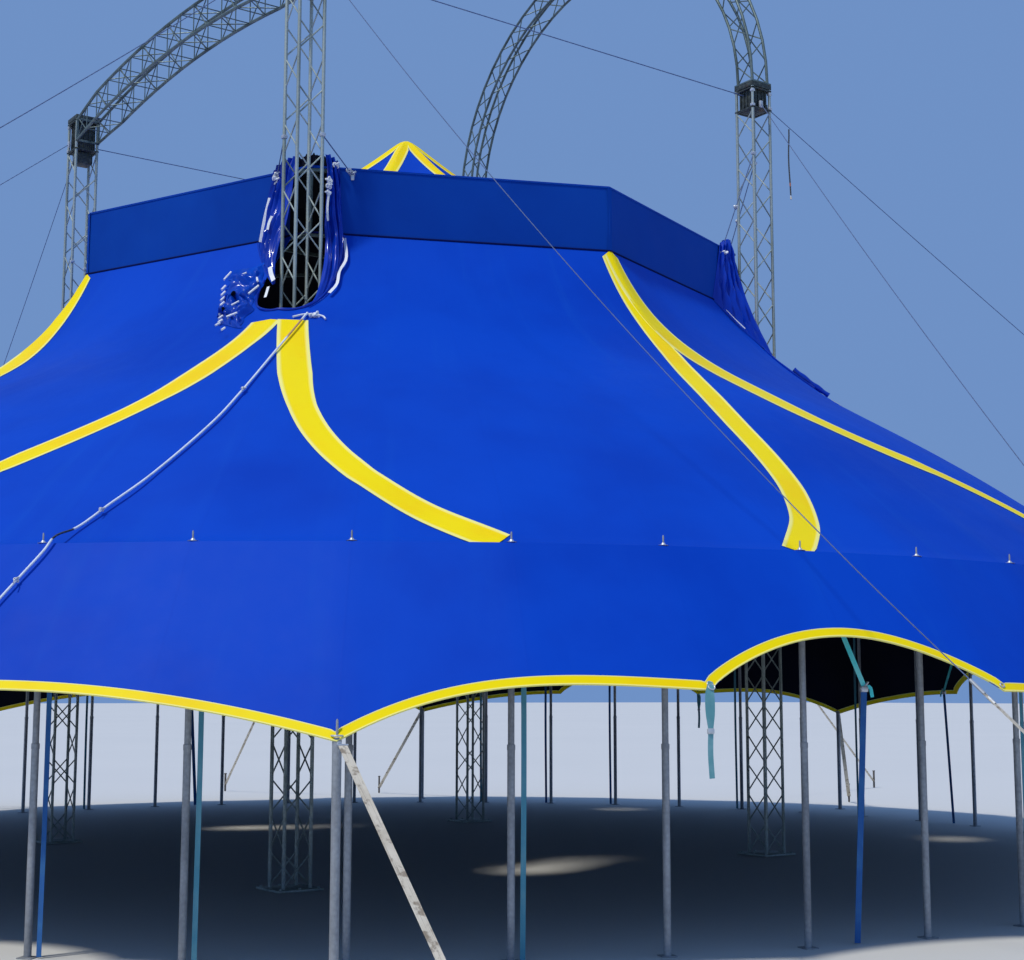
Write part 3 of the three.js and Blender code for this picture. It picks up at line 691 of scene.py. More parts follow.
def sleeved_rope():
    line = smooth_line(rope_places(), 240)
    share = np.linspace(0, 1, len(line))
    radii = ROPE_RADIUS * (0.9 - 0.12 * share)
    radii[(share > BARE_START) & (share < BARE_END)] = BARE_RADIUS
    length = length_of(line)
    piece = tube("sleeved_rope_line", line, radii, 12)

    f = Finish("rope_sleeve")
    along, strand = f.part(0), f.strands(0.05, 0.094)
    middle, half = (BARE_START + BARE_END) / 2 * length, (BARE_END - BARE_START) / 2 * length
    gap = 1.0 - (along - middle).size().rise(half - 0.02, half)
    dirt = f.noise(f.place(), 7.0, 5.0)
    sleeve = f.mix(dirt.rise(0.45, 0.8) * 0.45, rgb(226, 234, 244), rgb(150, 160, 174))
    # Orange along a short stretch near the top, where the rope lies over the yellow strip
    over_strip_orange = along.rise(0.025 * length, 0.032 * length) * (1.0 - along.rise(0.085 * length, 0.095 * length))
    sleeve = f.mix(over_strip_orange * 0.85, sleeve, rgb(196, 140, 20))
    # Bare rope darker in the grooves between its strands: painted shade
    inner = f.mix(strand.rise(-1.0, 0.3), rgb(24, 30, 44), rgb(60, 70, 92))
    crumple = f.noise(f.along((30, 8, 1)), 1.0, 4.0)
    finish = f.surface(base_color=f.mix(gap, sleeve, inner), roughness=0.6 + 0.2 * dirt,
                       normal=f.bump(crumple + 0.6 * gap * strand, 0.004, 0.7))
    dress(piece, finish, ["sleeved_rope"])

    for n, share_at in enumerate((0.255, 0.535, 0.66, 0.995)):
        at = line[int(round(share_at * (len(line) - 1)))]
        dress(overhand(f"knot_{n}", at + (0, 0, 0.006), 0.024, 0.009, 0.6 * n), knot_rope)
        if n < 3:
            hang = smooth_line([at, at + (0.03, -0.02, 0.01), at + (0.06, -0.05, -0.03)], 8)
            dress(tube(f"knot_{n}_tail", hang, 0.007, 6), knot_rope)


def rope_tail():
    places = guy_route("back_right", 1)["places"]
    top = places[0].lerp(places[1], TAIL_PLACE)
    points = [(top.x - 0.018 * math.sin(5 * max(0, u - 0.1)), top.y, top.z - 0.0306 - TAIL_LENGTH * u)
              for u in (0, 0.08, 0.16, 0.3, 0.5, 0.75, 1)]
    line = smooth_line(points, 60)
    piece = tube("rope_tail_line", line, TAIL_RADIUS, 10)
    length = length_of(line)
    f = Finish("tail_finish")
    along, strand = f.part(0), f.strands(0.04, 0.075)
    tip = along.rise(0.93 * length, 0.935 * length)
    mark = 1.0 - (along - 0.78 * length).size().rise(0.02, 0.035)
    # Darker in the grooves between strands: painted shade
    tone = f.mix(strand.rise(-1.0, 0.3), rgb(34, 38, 42), rgb(84, 90, 94))
    tone = f.mix(mark, tone, rgb(190, 110, 70))
    tone = f.mix(tip, tone, rgb(225, 230, 235))
    dress(piece, f.surface(base_color=tone, roughness=0.75, normal=f.bump(strand, 0.003, 0.7)),
          ["rope_tail"])
    whipping = dress(tube("rope_tail_whipping", line[-3:], 0.0145, 10), strap_pale)


sleeved_rope()
rope_tail()


# Canopy: roof and valance as one continuous sheet
ROOF_ROWS = 60
VALANCE_ROWS = 16
HOLE_CENTER = 0.25
HOLE_FRONT = 0.65
HOLE_BACK = 0.83
HOLE_SIDE = 0.46
QUARTERS = ("right", "back", "left", "front")


def mast_axes(side):
    """A mast's place in plan, and the directions outward and sideways from it"""
    sx, sy, azimuth = MASTS[side][:3]
    out = np.array([math.cos(math.radians(azimuth)), math.sin(math.radians(azimuth))])
    return np.array([sx, sy]) * MAST_OFFSET, out, np.array([-out[1], out[0]])


def beside_mast(side, outward, sideways):
    """Places in plan, outward and sideways from a mast"""
    middle, out, across = mast_axes(side)
    return middle + np.multiply.outer(outward, out) + np.multiply.outer(sideways, across)


def from_mast(side, places):
    """Outward and sideways distance of places from the middle of a mast's hole, as shares of its half axes"""
    middle, out, across = mast_axes(side)
    away = places[:, :2] - middle
    forward = away @ out - HOLE_CENTER
    return forward / np.where(forward > 0, HOLE_FRONT, HOLE_BACK), away @ across / HOLE_SIDE


def on_rim(side, forward, across):
    """Places in plan on the rim of a mast's hole, from the two shares of a unit circle"""
    half = np.where(forward > 0, HOLE_FRONT, HOLE_BACK)
    return beside_mast(side, HOLE_CENTER + forward * half, across * HOLE_SIDE)


def cut_hole(piece, side):
    """Opens the roof round a mast and draws the cut edge onto a clean oval"""
    mesh = piece.data
    centers = np.zeros(len(mesh.polygons) * 3)
    mesh.polygons.foreach_get("center", centers)
    radial, across = from_mast(side, centers.reshape(-1, 3))
    delete_faces(piece, radial ** 2 + across ** 2 < 1)
    mode("EDIT")
    bpy.ops.mesh.select_all(action="DESELECT")
    bpy.ops.mesh.select_non_manifold(extend=False, use_wire=False, use_multi_face=False,
                                     use_non_contiguous=False, use_verts=False)
    mode("OBJECT")
    rim = np.zeros(len(mesh.vertices), bool)
    mesh.vertices.foreach_get("select", rim)
    places = np.zeros(len(mesh.vertices) * 3)
    mesh.vertices.foreach_get("co", places)
    places = places.reshape(-1, 3)
    radial, across = from_mast(side, places)
    reach = np.hypot(radial, across)
    move = rim & (reach > 0.6) & (reach < 1.5) & (places[:, 2] < BAND_BOTTOM - 0.02)
    places[move] = roof_over(on_rim(side, radial[move] / reach[move], across[move] / reach[move]))
    mesh.vertices.foreach_set("co", places.ravel())
    mesh.update()


def canopy():
    rows = ROOF_ROWS + 1 + VALANCE_ROWS

    def place(u, v):
        azimuth = 360 * u
        row = np.rint(v * rows)
        t = np.clip(row / ROOF_ROWS, 0, 1) ** 1.3
        lower = valance(azimuth, np.clip((row - ROOF_ROWS - 1) / VALANCE_ROWS, 0, 1))
        return np.where((row <= ROOF_ROWS)[:, None], roof(azimuth, t, dip(azimuth, t)), lower)

    piece = shaped("canopy_cloth", 480, rows, place, (2 * math.pi * RING_RADIUS, 9.6))
    close_up(piece)
    for side in MASTS:
        cut_hole(piece, side)
    if piece.data.polygons[0].normal.z < 0:
        piece.data.flip_normals()
    thick(piece, SKIN, roof_cloth, underside)
    return dress(smooth(piece, 40), None,
                 [f"{part}_{quarter}" for part in ("canopy", "valance") for quarter in QUARTERS])


# Yellow strips welded on the roof: places (share of the roof's run, degrees from the corner), for each side
# of a corner, and their width along the run
PLAIN_CORNER = {
    -1: [(0, 0.2), (0.12, 0.25), (0.2, 0.5), (0.3, 2.0), (0.42, 4.0), (0.58, 6.0), (0.69, 6.7), (0.77, 7.0),
         (0.83, 7.5), (0.88, 8.0), (0.93, 9.0), (0.985, 10.4), (1.0, 11.25)],
    1: [(0, 0.2), (0.1, 1.4), (0.2, 2.9), (0.3, 3.5), (0.4, 3.5), (0.5, 3.7), (0.55, 4.4), (0.6, 5.8),
        (0.65, 8.0), (0.7, 11.0), (0.75, 14.6), (0.8, 17.2), (0.9, 19.2), (1.0, 20.0)],
}
MAST_CORNER = {
    -1: [(0.25, 0.7), (0.334, 1.1), (0.447, 2.3), (0.541, 3.6), (0.61, 5.1), (0.664, 6.8), (0.707, 8.4),
         (0.752, 10.0), (0.8, 11.9), (0.87, 14.4), (0.94, 16.8), (1.0, 18.75)],
    1: [(0.25, 2.1), (0.386, 3.8), (0.508, 5.15), (0.591, 6.1), (0.669, 7.27), (0.736, 8.58), (0.796, 10.1),
        (0.844, 11.6), (0.883, 13.0), (0.918, 14.4), (0.947, 15.7), (0.972, 16.9), (1.0, 18.2)],
}
PLAIN_WIDTHS = {
    -1: [(0, 0.24), (0.12, 0.24), (0.2, 0.27), (0.35, 0.32), (1.0, 0.33)],
    1: [(0, 0.24), (0.1, 0.40), (0.2, 0.62), (0.35, 0.66), (0.5, 0.56), (0.65, 0.42), (0.8, 0.30),
        (1.0, 0.28)],
}
MAST_WIDTHS = dict.fromkeys((-1, 1), [(0.25, 0.38), (0.5, 0.40), (0.63, 0.32), (0.8, 0.31), (1.0, 0.36)])


def strip_on_roof(name, corner, side, course, widths):
    run, bend = np.array(course, float).T
    t = np.linspace(run[0], run[-1], 90)
    bend = np.pad(np.interp(t, run, bend), 6, mode="reflect", reflect_type="odd")
    azimuth = corner + side * np.convolve(bend, np.ones(13) / 13, mode="valid")
    width = np.interp(t, *np.array(widths).T)
    middle = roof(azimuth, t)
    down = unit(np.gradient(middle, axis=0))
    across = np.cross(down, unit(np.cross(on_circle(1.0, azimuth + 90, 0.0), down)))
    steps = len(t) - 1

    def place(u, v):
        i = step_at(u, steps)
        spot = middle[i] + across[i] * ((v - 0.5) * width[i])[:, None]
        return roof_over(spot[:, :2], 0.009 + 0.002 * (side > 0))

    return thick(shaped(name, steps, 6, place, (9.0, STRIPE_WIDTH)), 0.003)


def roof_stripes():
    strips = []
    for k in range(8):
        course, widths = (MAST_CORNER, MAST_WIDTHS) if k % 2 else (PLAIN_CORNER, PLAIN_WIDTHS)
        for side in (-1, 1):
            strips.append(strip_on_roof(f"strip_{k}_{side}", 45 * k, side, course[side], widths[side]))
    return dress(smooth(close_up(join("roof_stripes", strips), 1e-6), 40), stripe_yellow)


def hem():
    """Folded hem along the scalloped edge, with a bolt rope in it"""
    columns = 960
    azimuth = np.arange(columns + 1) * 360 / columns
    edge = valance(azimuth, np.ones_like(azimuth))
    up = unit(valance(azimuth, np.full_like(azimuth, 0.95)) - edge)
    run = np.roll(edge[:-1], -1, axis=0) - np.roll(edge[:-1], 1, axis=0)
    run = unit(np.vstack([run, run[:1]]))
    normal = unit(np.cross(run, up))
    inward = np.cross(normal, run)
    out = normal * np.sign((normal * on_circle(1.0, azimuth, 0.0)).sum(axis=1))[:, None]

    def place(u, v):
        i = step_at(u, columns)
        return edge[i] + inward[i] * (v * HEM_WIDTH - 0.004)[:, None] + out[i] * 0.002

    strip = close_up(shaped("hem_strip", columns, 4, place, (2 * math.pi * 12.6, HEM_WIDTH)), 1e-6)
    return dress(smooth(thick(strip, 0.018), 40), hem_yellow)


canopy_piece = canopy()
stripes_piece = roof_stripes()
hem_piece = hem()


# Cupola
BAND_SLOT = 3.4


def band():
    """Octagonal wall of the cupola, open behind each mast"""
    low, high = BAND_BOTTOM - BELT_HALF, BAND_TOP

    def place(u, v):
        azimuth = 360 * u
        ripple = 0.005 * np.sin(np.radians(27 * azimuth) + 4 * v) * np.sin(math.pi * v)
        apothem = APOTHEM + ripple + 0.006 * np.sin(math.pi * v)
        return on_circle(polygon_radius(azimuth, 1.0) * apothem, azimuth, low + (high - low) * v)

    piece = close_up(shaped("band_cloth", 320, 12, place, (2 * math.pi * CUPOLA_RADIUS, high - low)))
    turns = [(math.degrees(math.atan2(face.center.y, face.center.x)) + 315) % 90
             for face in piece.data.polygons]
    delete_faces(piece, [min(turn, 90 - turn) < BAND_SLOT for turn in turns])
    thick(piece, SKIN, band_canvas, underside)
    trims = []
    for k in range(0, 8, 2):
        post = [on_circle(CUPOLA_RADIUS + 0.006, 45 * k, z) for z in (low, high)]
        trims.append(ribbon(f"band_corner_{k}", post, 0.07, Vector(on_circle(1.0, 45 * k, 0.0)), 0.006))
    top_edge = [on_circle(CUPOLA_RADIUS + 0.004, 45 * k, high - 0.012) for k in range(9)]
    trims.append(tube("band_top_edge", top_edge, 0.012, 8))
    for trim in trims:
        trim.data.materials.append(band_canvas)
    whole = join("cupola_band_cloth", [piece] + trims)
    dress(smooth(whole, 30), None, ["cupola_band"])
    # A dark tube along the foot of the band: painted shadow where the band meets the roof
    shadow_line = [on_circle(CUPOLA_RADIUS + 0.017, 45 * k, BAND_BOTTOM + 0.010) for k in range(9)]
    dress(tube("band_shadow_line", shadow_line, 0.014, 8), shadow_line_cloth)


def cupola_roof():
    """Peaked roof of eight panels, hollow between the ridges"""
    tip = 0.022

    def surface(azimuth, s):
        reach = polygon_radius(azimuth, APOTHEM + 0.006) * s
        away = (np.mod(azimuth, 45) - 22.5) / 22.5
        hollow = 0.10 * (1 - away ** 2) * np.sin(math.pi * np.clip(s, 0, 1)) ** 0.8
        fall = ((1 - np.minimum(1, np.sqrt(s ** 2 + tip ** 2))) / (1 - tip)) ** 2.3
        height = BAND_TOP + 0.0063 + (PEAK_HEIGHT - BAND_TOP) * fall - hollow * (1 - s)
        return on_circle(reach, azimuth, height)

    def place(u, v):
        return surface(360 * u, v ** 1.3)

    piece = close_up(shaped("cupola_roof_cloth", 160, 36, place, (2 * math.pi * CUPOLA_RADIUS, 5.6)))
    if sum(face.normal.z for face in piece.data.polygons) < 0:
        piece.data.flip_normals()
    thick(piece, SKIN, roof_cloth, underside)
    dress(smooth(piece, 40), None, ["cupola_roof"])
    strips = []
    for k in range(8):
        def ridge(u, v, k=k):
            s = 0.99 * u ** 1.3
            limit = s * CUPOLA_RADIUS * math.tan(HALF_SIDE)
            half = np.clip((v - 0.5) * RIDGE_WIDTH, -limit, limit)
            turn = np.degrees(np.arctan2(half, np.maximum(s, 1e-4) * CUPOLA_RADIUS))
            return surface(45 * k + turn, s) + np.array([0, 0, 0.012])
        strips.append(thick(close_up(shaped(f"ridge_{k}", 40, 6, ridge, (5.6, STRIPE_WIDTH))), 0.004))
    trim = dress(smooth(join("cupola_ridges", strips), 50), stripe_yellow)


band()
cupola_roof()


# Gathered cloth round the masts
# Edge of the slit in front of a mast (height, outward, sideways), and the start, turn and end of a curtain's
# foot on the roof (outward, sideways), for the wide curtain on one side of the mast and the narrow one
SLIT_TOP = [(8.30, -0.05, 0.31), (8.5, -0.11, 0.275), (8.75, -0.19, 0.255), (9.05, -0.27, 0.245),
            (9.3, -0.33, 0.235), (9.45, -0.37, 0.22), (9.60, -0.40, 0.19)]
SLIT_FOOT = {-1: [(7.85, 0.16, 0.30), (8.05, 0.06, 0.32)],
             1: [(7.40, 0.56, 0.37), (7.65, 0.36, 0.375), (7.9, 0.18, 0.36), (8.1, 0.05, 0.335)]}
FOOT = {-1: [(-0.67, 0.82), (-0.25, 0.62), (0.24, 0.27)], 1: [(-0.50, 0.42), (0.2, 0.62), (0.72, 0.34)]}
WALL_ASIDE = {-1: (0.82, 0.58), 1: (0.42, 0.37)}
CLOTH_THICKNESS = 0.006


def at_mast(side, outward, sideways, height):
    """Places outward and sideways from a mast, at a height"""
    return np.concatenate([beside_mast(side, outward, sideways), np.asarray(height)[..., None]], axis=-1)


def on_roof(side, outward, sideways, lift=0.0):
    return roof_over(np.atleast_2d(beside_mast(side, outward, sideways)), lift)


def foot_of(hand, u):
    """Places in plan along the foot of a curtain"""
    start, turn, end = np.array(FOOT[hand])
    return ((1 - u) ** 2)[:, None] * start + (2 * u * (1 - u))[:, None] * turn + (u ** 2)[:, None] * end


def curtain(side, hand):
    """Folded cloth from the cupola's wall to the slit, its foot tucked on the roof"""
    skirt, rows, columns = 2, 50, 56
    end = FOOT[hand][2]
    ground = float(on_roof(side, end[0], hand * end[1], 0.004)[0, 2])
    edge = np.array([(ground, *end)] + SLIT_FOOT[hand] + SLIT_TOP)[:, [1, 2, 0]]
    low_aside, high_aside = WALL_ASIDE[hand]

    def wall_at(v):
        aside = low_aside + (high_aside - low_aside) * v
        return np.stack([-0.333 - aside * math.tan(HALF_SIDE) + 0.03, aside, 8.44 + 1.01 * v], axis=-1)

    def flat(u, v):
        share = np.linspace(0, 1, len(edge))
        slit = np.stack([np.interp(v, share, edge[:, k]) for k in range(3)], axis=-1)
        plan = foot_of(hand, u)
        base = np.column_stack([plan, on_roof(side, plan[:, 0], hand * plan[:, 1], 0.004)[:, 2]])
        corners = [wall_at(0.0), edge[0], wall_at(1.0), edge[-1]]
        base[:, 2] += ((1 - u) ** 8) * (corners[0][2] - base[0, 2])
        a, b = u[:, None], v[:, None]
        top = corners[2] + a * (corners[3] - corners[2]) + np.outer(np.sin(u * math.pi) * 0.04, UP)
        return ((1 - a) * wall_at(v) + a * slit + (1 - b) * base + b * top - (1 - a) * (1 - b) * corners[0]
                - a * (1 - b) * corners[1] - (1 - a) * b * corners[2] - a * b * corners[3])

    def place(u, v):
        row = np.rint(v * (rows + skirt)) - skirt
        up = np.clip(row / rows, 0, 1)
        spot = flat(u, up)
        folds = 4.6 if hand < 0 else 3.1
        fold = np.sin(2 * math.pi * (folds * u + 0.30 * np.sin(2.9 * up + hand)) + 0.7 * hand)
        fine = np.sin(2 * math.pi * (2.3 * folds * u + 0.35 * np.sin(5.1 * up)) + 1.3)
        held = np.minimum(1, 5 * u) * np.minimum(1, 4 * (1 - u) + 0.35) * np.minimum(1, 5 * up)
        depth = (0.036 * fold + 0.015 * fine) * held
        slack = 0.016 * np.sin(19 * up + 6 * u + hand) * np.sin(7 * up + 2) * held
        hung = at_mast(side, spot[:, 0] + 0.75 * depth + slack, hand * (spot[:, 1] + 0.55 * depth),
                       spot[:, 2] + 0.5 * slack)
        plan = foot_of(hand, u)
        plan = plan + unit(plan) * (np.clip(-row / skirt, 0, 1) * 0.03)[:, None]
        laid = on_roof(side, plan[:, 0], hand * plan[:, 1], 0.010)
        return np.where((row < 0)[:, None], laid, hung)

    piece = shaped(f"curtain_{side}_{hand}", columns, rows + skirt, place, (1.1, 1.9))
    if hand > 0:
        piece.data.flip_normals()
    return thick(piece, CLOTH_THICKNESS, sleeve_vinyl, underside)


def lip(side):
    """Gathered edge above the band, behind a mast; it is dark because both faces take the underside finish,
    which on the outer face is painted shade
    """
    def place(u, v):
        w = 2 * u - 1
        fold = 0.016 * np.sin(2 * math.pi * 5.5 * u) + 0.008 * np.sin(2 * math.pi * 13 * u + 1)
        outward = -0.40 - 0.10 * np.abs(w) ** 1.5 + fold - 0.03 * v
        top = 9.62 - 0.10 * w ** 2 + 0.018 * np.sin(19 * w + 1) + 0.012 * np.sin(41 * w)
        return at_mast(side, outward, 0.33 * w, 9.38 + (top - 9.38) * v)
    # Both faces take the dark underside finish: painted shade on the outer face
    return thick(shaped(f"lip_{side}", 60, 8, place, (1.0, 0.3)), CLOTH_THICKNESS, underside)


def flap(side):
    """Crumpled cloth that lies in a heap on the roof beside the slit"""
    def place(u, v):
        a, b = 0.54 * u, 1.50 * v
        broad = np.abs(np.sin(10 * a + 3 * b + 0.9 * np.sin(8 * b)) * np.sin(7.5 * b - 4 * a + 0.6))
        sharp = np.abs(np.sin(17 * a - 11 * b + 2.2 * np.sin(5 * a + 4 * b)) * np.sin(15 * b + 9 * a))
        rim = np.minimum(1, 7 * np.minimum(np.minimum(u, 1 - u), np.minimum(v, 1 - v)))
        outward = -0.33 + b + 0.07 * np.sin(7 * a + 1) + 0.05 * np.sin(13 * b) * u - 0.22 * u * v
        sideways = (0.54 - 0.17 * v + a * (1 - 0.22 * v) + 0.035 * np.sin(11 * b + 2 * u)
                    + 0.02 * np.sin(23 * b))
        lift = 0.010 + (0.10 * broad + 0.06 * sharp) * rim
        return on_roof(side, outward, MASTS[side][1] * sideways, lift)
    piece = shaped(f"flap_{side}", 64, 120, place, (0.52, 1.1))
    if piece.data.polygons[0].normal.z < 0:
        piece.data.flip_normals()
    return thick(piece, CLOTH_THICKNESS, heap_vinyl, underside)


def hole_hem(side):
    """Rolled edge round the front of the mast's hole; on the back right mast its end lies down the roof"""
    turn = np.radians(np.linspace(-100, 100, 60))
    ring = roof_over(on_rim(side, np.cos(turn), np.sin(turn)), 0.014)
    pieces = [tube(f"hole_hem_{side}", ring, 0.018 + 0.004 * np.sin(9 * turn), 10)]
    if side == "back_right":
        run = np.linspace(0.52, 1.06, 24)
        roll = on_roof(side, run, -0.22 + 0.12 * run, 0.045)
        pieces.append(tube("rolled_end", roll, 0.05 - 0.02 * (run - 0.52) + 0.006 * np.sin(30 * run), 12))
    for piece in pieces:
        piece.data.materials.append(sleeve_vinyl)
    return pieces


# White dashes on the heap, shaped as lace ends, that stand for its glints (painted highlights): outward,
# sideways, and how far each runs that way
GLINT_DASHES = [(-0.26, 1.00, 0.10, 0.06), (-0.09, 0.73, 0.0, 0.13), (0.12, 0.52, 0.09, -0.04),
             (0.32, 0.43, 0.12, 0.09), (0.57, 0.60, 0.05, 0.08), (0.92, 0.50, 0.05, 0.12),
             (1.14, 0.64, 0.05, 0.04), (1.36, 0.50, 0.06, 0.02)]


def tie_tapes(side):
    """White tapes, knots and lacing of the collar, and white dashes on the heap that are painted highlights
    """
    facing = Vector(at_mast(side, 1.0, 0.0, 0.0) - at_mast(side, 0.0, 0.0, 0.0))
    hand = MASTS[side][1]

    def line(*places):
        return smooth_line([at_mast(side, *np.array(place, float)) for place in places], 14)

    def on_cloth(*places, lift=0.06):
        return smooth_line([on_roof(side, o, s, lift)[0] for o, s in places], 14)

    def tape(n, route, width):
        return ribbon(f"tape_{n}", route, width, facing)

    def dash(name, outward, sideways, lift, radius):
        ends = on_roof(side, np.array(outward), hand * np.array(sideways), lift)
        return tube(name, np.linspace(*ends, 4), radius, 8)

    tapes = [
        tube("loop", line((-0.49, -0.50, 9.30), (-0.50, -0.57, 9.22), (-0.50, -0.52, 9.12),
                          (-0.51, -0.58, 9.02)), 0.012, 8),
        tube("knot_tail", on_cloth((1.05, 0.24), (0.95, 0.36), (0.91, 0.49), (0.92, 0.59), (0.97, 0.63),
                                   lift=0.03), 0.012, 8),
        tape(5, on_cloth((-0.44, 0.47), (-0.2, 0.56), (0.0, 0.53), (0.22, 0.56), (0.42, 0.52)), 0.04),
    ]
    knots = [at_mast(side, -0.47, -0.52, 9.32), on_roof(side, 0.91, 0.50, 0.03)[0],
             on_roof(side, 0.95, 0.46, 0.03)[0]]
    if side.startswith("front"):
        tapes += [
            tape(1, line((-0.48, -0.60, 9.06), (-0.47, -0.66, 8.78), (-0.51, -0.73, 8.46)), 0.055),
            tape(2, line((-0.33, -0.52, 8.76), (-0.30, -0.55, 8.66), (-0.28, -0.56, 8.56)), 0.035),
            tape(3, on_cloth((-0.02, -0.40), (0.12, -0.34), (0.29, -0.25), lift=0.09), 0.06),
            tape(4, on_cloth((0.36, -0.30), (0.48, -0.28), (0.60, -0.26), lift=0.07), 0.036),
            tape(6, line((-0.20, 0.30, 8.98), (-0.17, 0.295, 8.80), (-0.14, 0.31, 8.60)), 0.03),
        ]
        knots += [at_mast(side, *place) for place in ((-0.24, 0.29, 9.19), (-0.22, 0.30, 9.10),
                                                      (-0.21, 0.29, 9.01), (-0.40, 0.34, 9.44))]
    else:
        tapes.append(tape(3, on_cloth((-0.50, -0.78), (-0.36, -0.72), (-0.22, -0.64)), 0.05))
    for n, knot in enumerate(knots):
        tapes.append(overhand("collar_knot", knot, 0.045 - 0.004 * (n % 3), 0.013, 1.7 * n))
    for k in range(8):
        outward, sideways = 0.14 * k, 0.045 * k
        tapes.append(dash("lacing", [-0.10 + outward, -0.04 + outward], [1.04 - sideways, 1.07 - sideways],
                          0.05, 0.017))
    # Short white tubes lying on the heap: painted highlights
    for outward, sideways, drop, reach in GLINT_DASHES:
        tapes.append(dash("glint_dash", [outward, outward + drop], [sideways, sideways + reach], 0.11, 0.014))
    return dress(join(f"collar_tapes_{side}", tapes), white_tape)


for side in MASTS:
    cloth = join(f"collar_cloth_{side}",
                 [curtain(side, 1), curtain(side, -1), lip(side), flap(side), *hole_hem(side)])
    dress(smooth(cloth, 60), None, [f"collar_{side}"])
    tie_tapes(side)


# Lattice work
MAST_PANELS = 26
FOOT_TOP = 0.03


def square_section(center, across, up, width):
    h = width / 2
    return [center + s * h * across + t * h * up for s, t in ((1, 1), (-1, 1), (-1, -1), (1, -1))]


def truss(name, sections, pattern, brace=BRACE_RADIUS):
    """Four chords with braces; pattern says for panel and face which braces it has"""
    chords = [[section[corner] for section in sections] for corner in range(4)]
    braces = []
    for i, (low, high) in enumerate(zip(sections, sections[1:])):
        for corner in range(4):
            other = (corner + 1) % 4
            kinds = pattern(i, corner)
            if "X" in kinds:
                for a, b in ((corner, other), (other, corner)):
                    braces.append((low[a].lerp(high[a], 0.05), high[b].lerp(low[b], 0.05)))
            if "rung" in kinds:
                braces.append((low[corner], low[other]))
    return join(name, [rods(f"{name}_chords", chords, CHORD_RADIUS, 12),
                       rods(f"{name}_braces", braces, brace)])


def alternate(panel, face):
    return "X" if (panel + face) % 2 else ""


def mast_place(side):
    """A mast's sides and place in plan, and the lower and upper end of its head"""
    sx, sy = MASTS[side][:2]
    return (sx, sy, sx * MAST_OFFSET, sy * MAST_OFFSET, *(FRONT_HEAD if sy < 0 else BACK_HEAD))


def mast(side):
    _, _, x, y, low, high = mast_place(side)
    heights = [FOOT_TOP + (low - FOOT_TOP) * i / MAST_PANELS for i in range(MAST_PANELS + 1)] + [high - 0.01]
    sections = [square_section(Vector((x, y, z)), Vector((1, 0, 0)), NORTH, MAST_WIDTH) for z in heights]
    shaft = truss(f"mast_{side}_lattice", sections,
                  lambda panel, face: alternate(panel, face) if panel < MAST_PANELS else "")
    plate = block("foot_plate", (x, y, FOOT_TOP / 2), (0.62, 0.62, FOOT_TOP), 0.006)
    bolts = []
    for k in range(8):
        turn = math.radians(45 * k)
        reach = 0.265 / max(abs(math.cos(turn)), abs(math.sin(turn)))
        bolts.append(turned_part("bolt", [(0, FOOT_TOP), (0.018, FOOT_TOP), (0.018, 0.048), (0, 0.05)], 6,
                                 (x + reach * math.cos(turn), y + reach * math.sin(turn))))
    whole = join(f"mast_{side}_shaft", [shaft, plate, *bolts])
    dress(whole, galvanised, [f"mast_{side}"])


def hoists(side):
    """Two lines from the mast's chords to shackles on the cupola, either side of its corner"""
    _, sy, x, y, _, _ = mast_place(side)
    azimuth = MASTS[side][2]
    top_height, share = (9.73, 0.12) if sy < 0 else (11.0, 0.45)
    lines, fittings = [], []
    for hand in (-1, 1):
        turn = azimuth + hand * HOIST_TURN
        quarter = math.radians(azimuth + 90 * hand)
        chord = np.array([x + math.copysign(MAST_WIDTH / 2, math.cos(quarter)),
                          y + math.copysign(MAST_WIDTH / 2, math.sin(quarter)), top_height])
        reach = float(polygon_radius(turn, APOTHEM + 0.0243))
        low = on_circle(reach, turn, HOIST_END)
        lines.append(tube("hoist", [chord, low], CABLE_RADIUS, 8))
        fittings.append(block("shackle_body", low - (0, 0, 0.03), (0.03, 0.05, 0.08), 0.012,
                              azimuth + hand * 22.5))
        fittings.append(block("chord_clamp", chord, (0.07, 0.07, 0.05), 0.012))
        fittings.append(overhand("line_fitting", low + (chord - low) * share, 0.035, 0.013, 0.8))
        if sy < 0:
            fittings.append(overhand("shackle_knot", low + (0, 0, 0.03), 0.045, 0.014, 0.3))
    dress(join(f"mast_{side}_hoists", lines), cable_steel)
    dress(join(f"mast_{side}_shackles", fittings), fitting_steel)


def head(side):
    """Dark steel head inside the four chords, with flanges above and below"""
    sx, _, x, y, low, high = mast_place(side)
    flange = high - CAP_DEPTH
    middle = (low + flange) / 2
    parts = [block("core", (x, y, middle), (HEAD_CORE, HEAD_CORE, flange - low), 0.01)]

    def on_face(name, k, out, shift, z, size, bevel):
        """A block on the head's side k, so far out and so far sideways"""
        cos, sin = math.cos(math.radians(90 * k)), math.sin(math.radians(90 * k))
        place = (x + out * cos - shift * sin, y + out * sin + shift * cos, z)
        parts.append(block(name, place, size, bevel, 90 * k))

    for z in (low + 0.012, flange - 0.012):
        for k in range(4):
            on_face("flange", k, 0.19, 0.0, z, (0.04, HEAD_SIDE, 0.024), 0.004)
    parts.append(block("cap", (x, y, high - 0.04), (HEAD_SIDE, HEAD_SIDE, 0.075), 0.006))
    for k in range(4):
        for shift in (-0.11, -0.04, 0.04, 0.11):
            on_face("rib", k, 0.161, shift, middle, (0.024, 0.014, flange - low - 0.05), 0.003)
    if side == "front_left":
        parts.append(block("winch", (x, y, low - 0.11), (0.27, 0.27, 0.20), 0.02))
    half = MAST_WIDTH / 2
    clamps = [block("clamp", (x + sx * half, y + shift, z), (0.062, 0.062, 0.045), 0.01)
              for shift in (-half, half) for z in (low + 0.05, flange - 0.06)]
    dress(join(f"head_{side}_clamps", clamps), fitting_steel)
    dress(join(f"head_{side}", parts), head_steel)


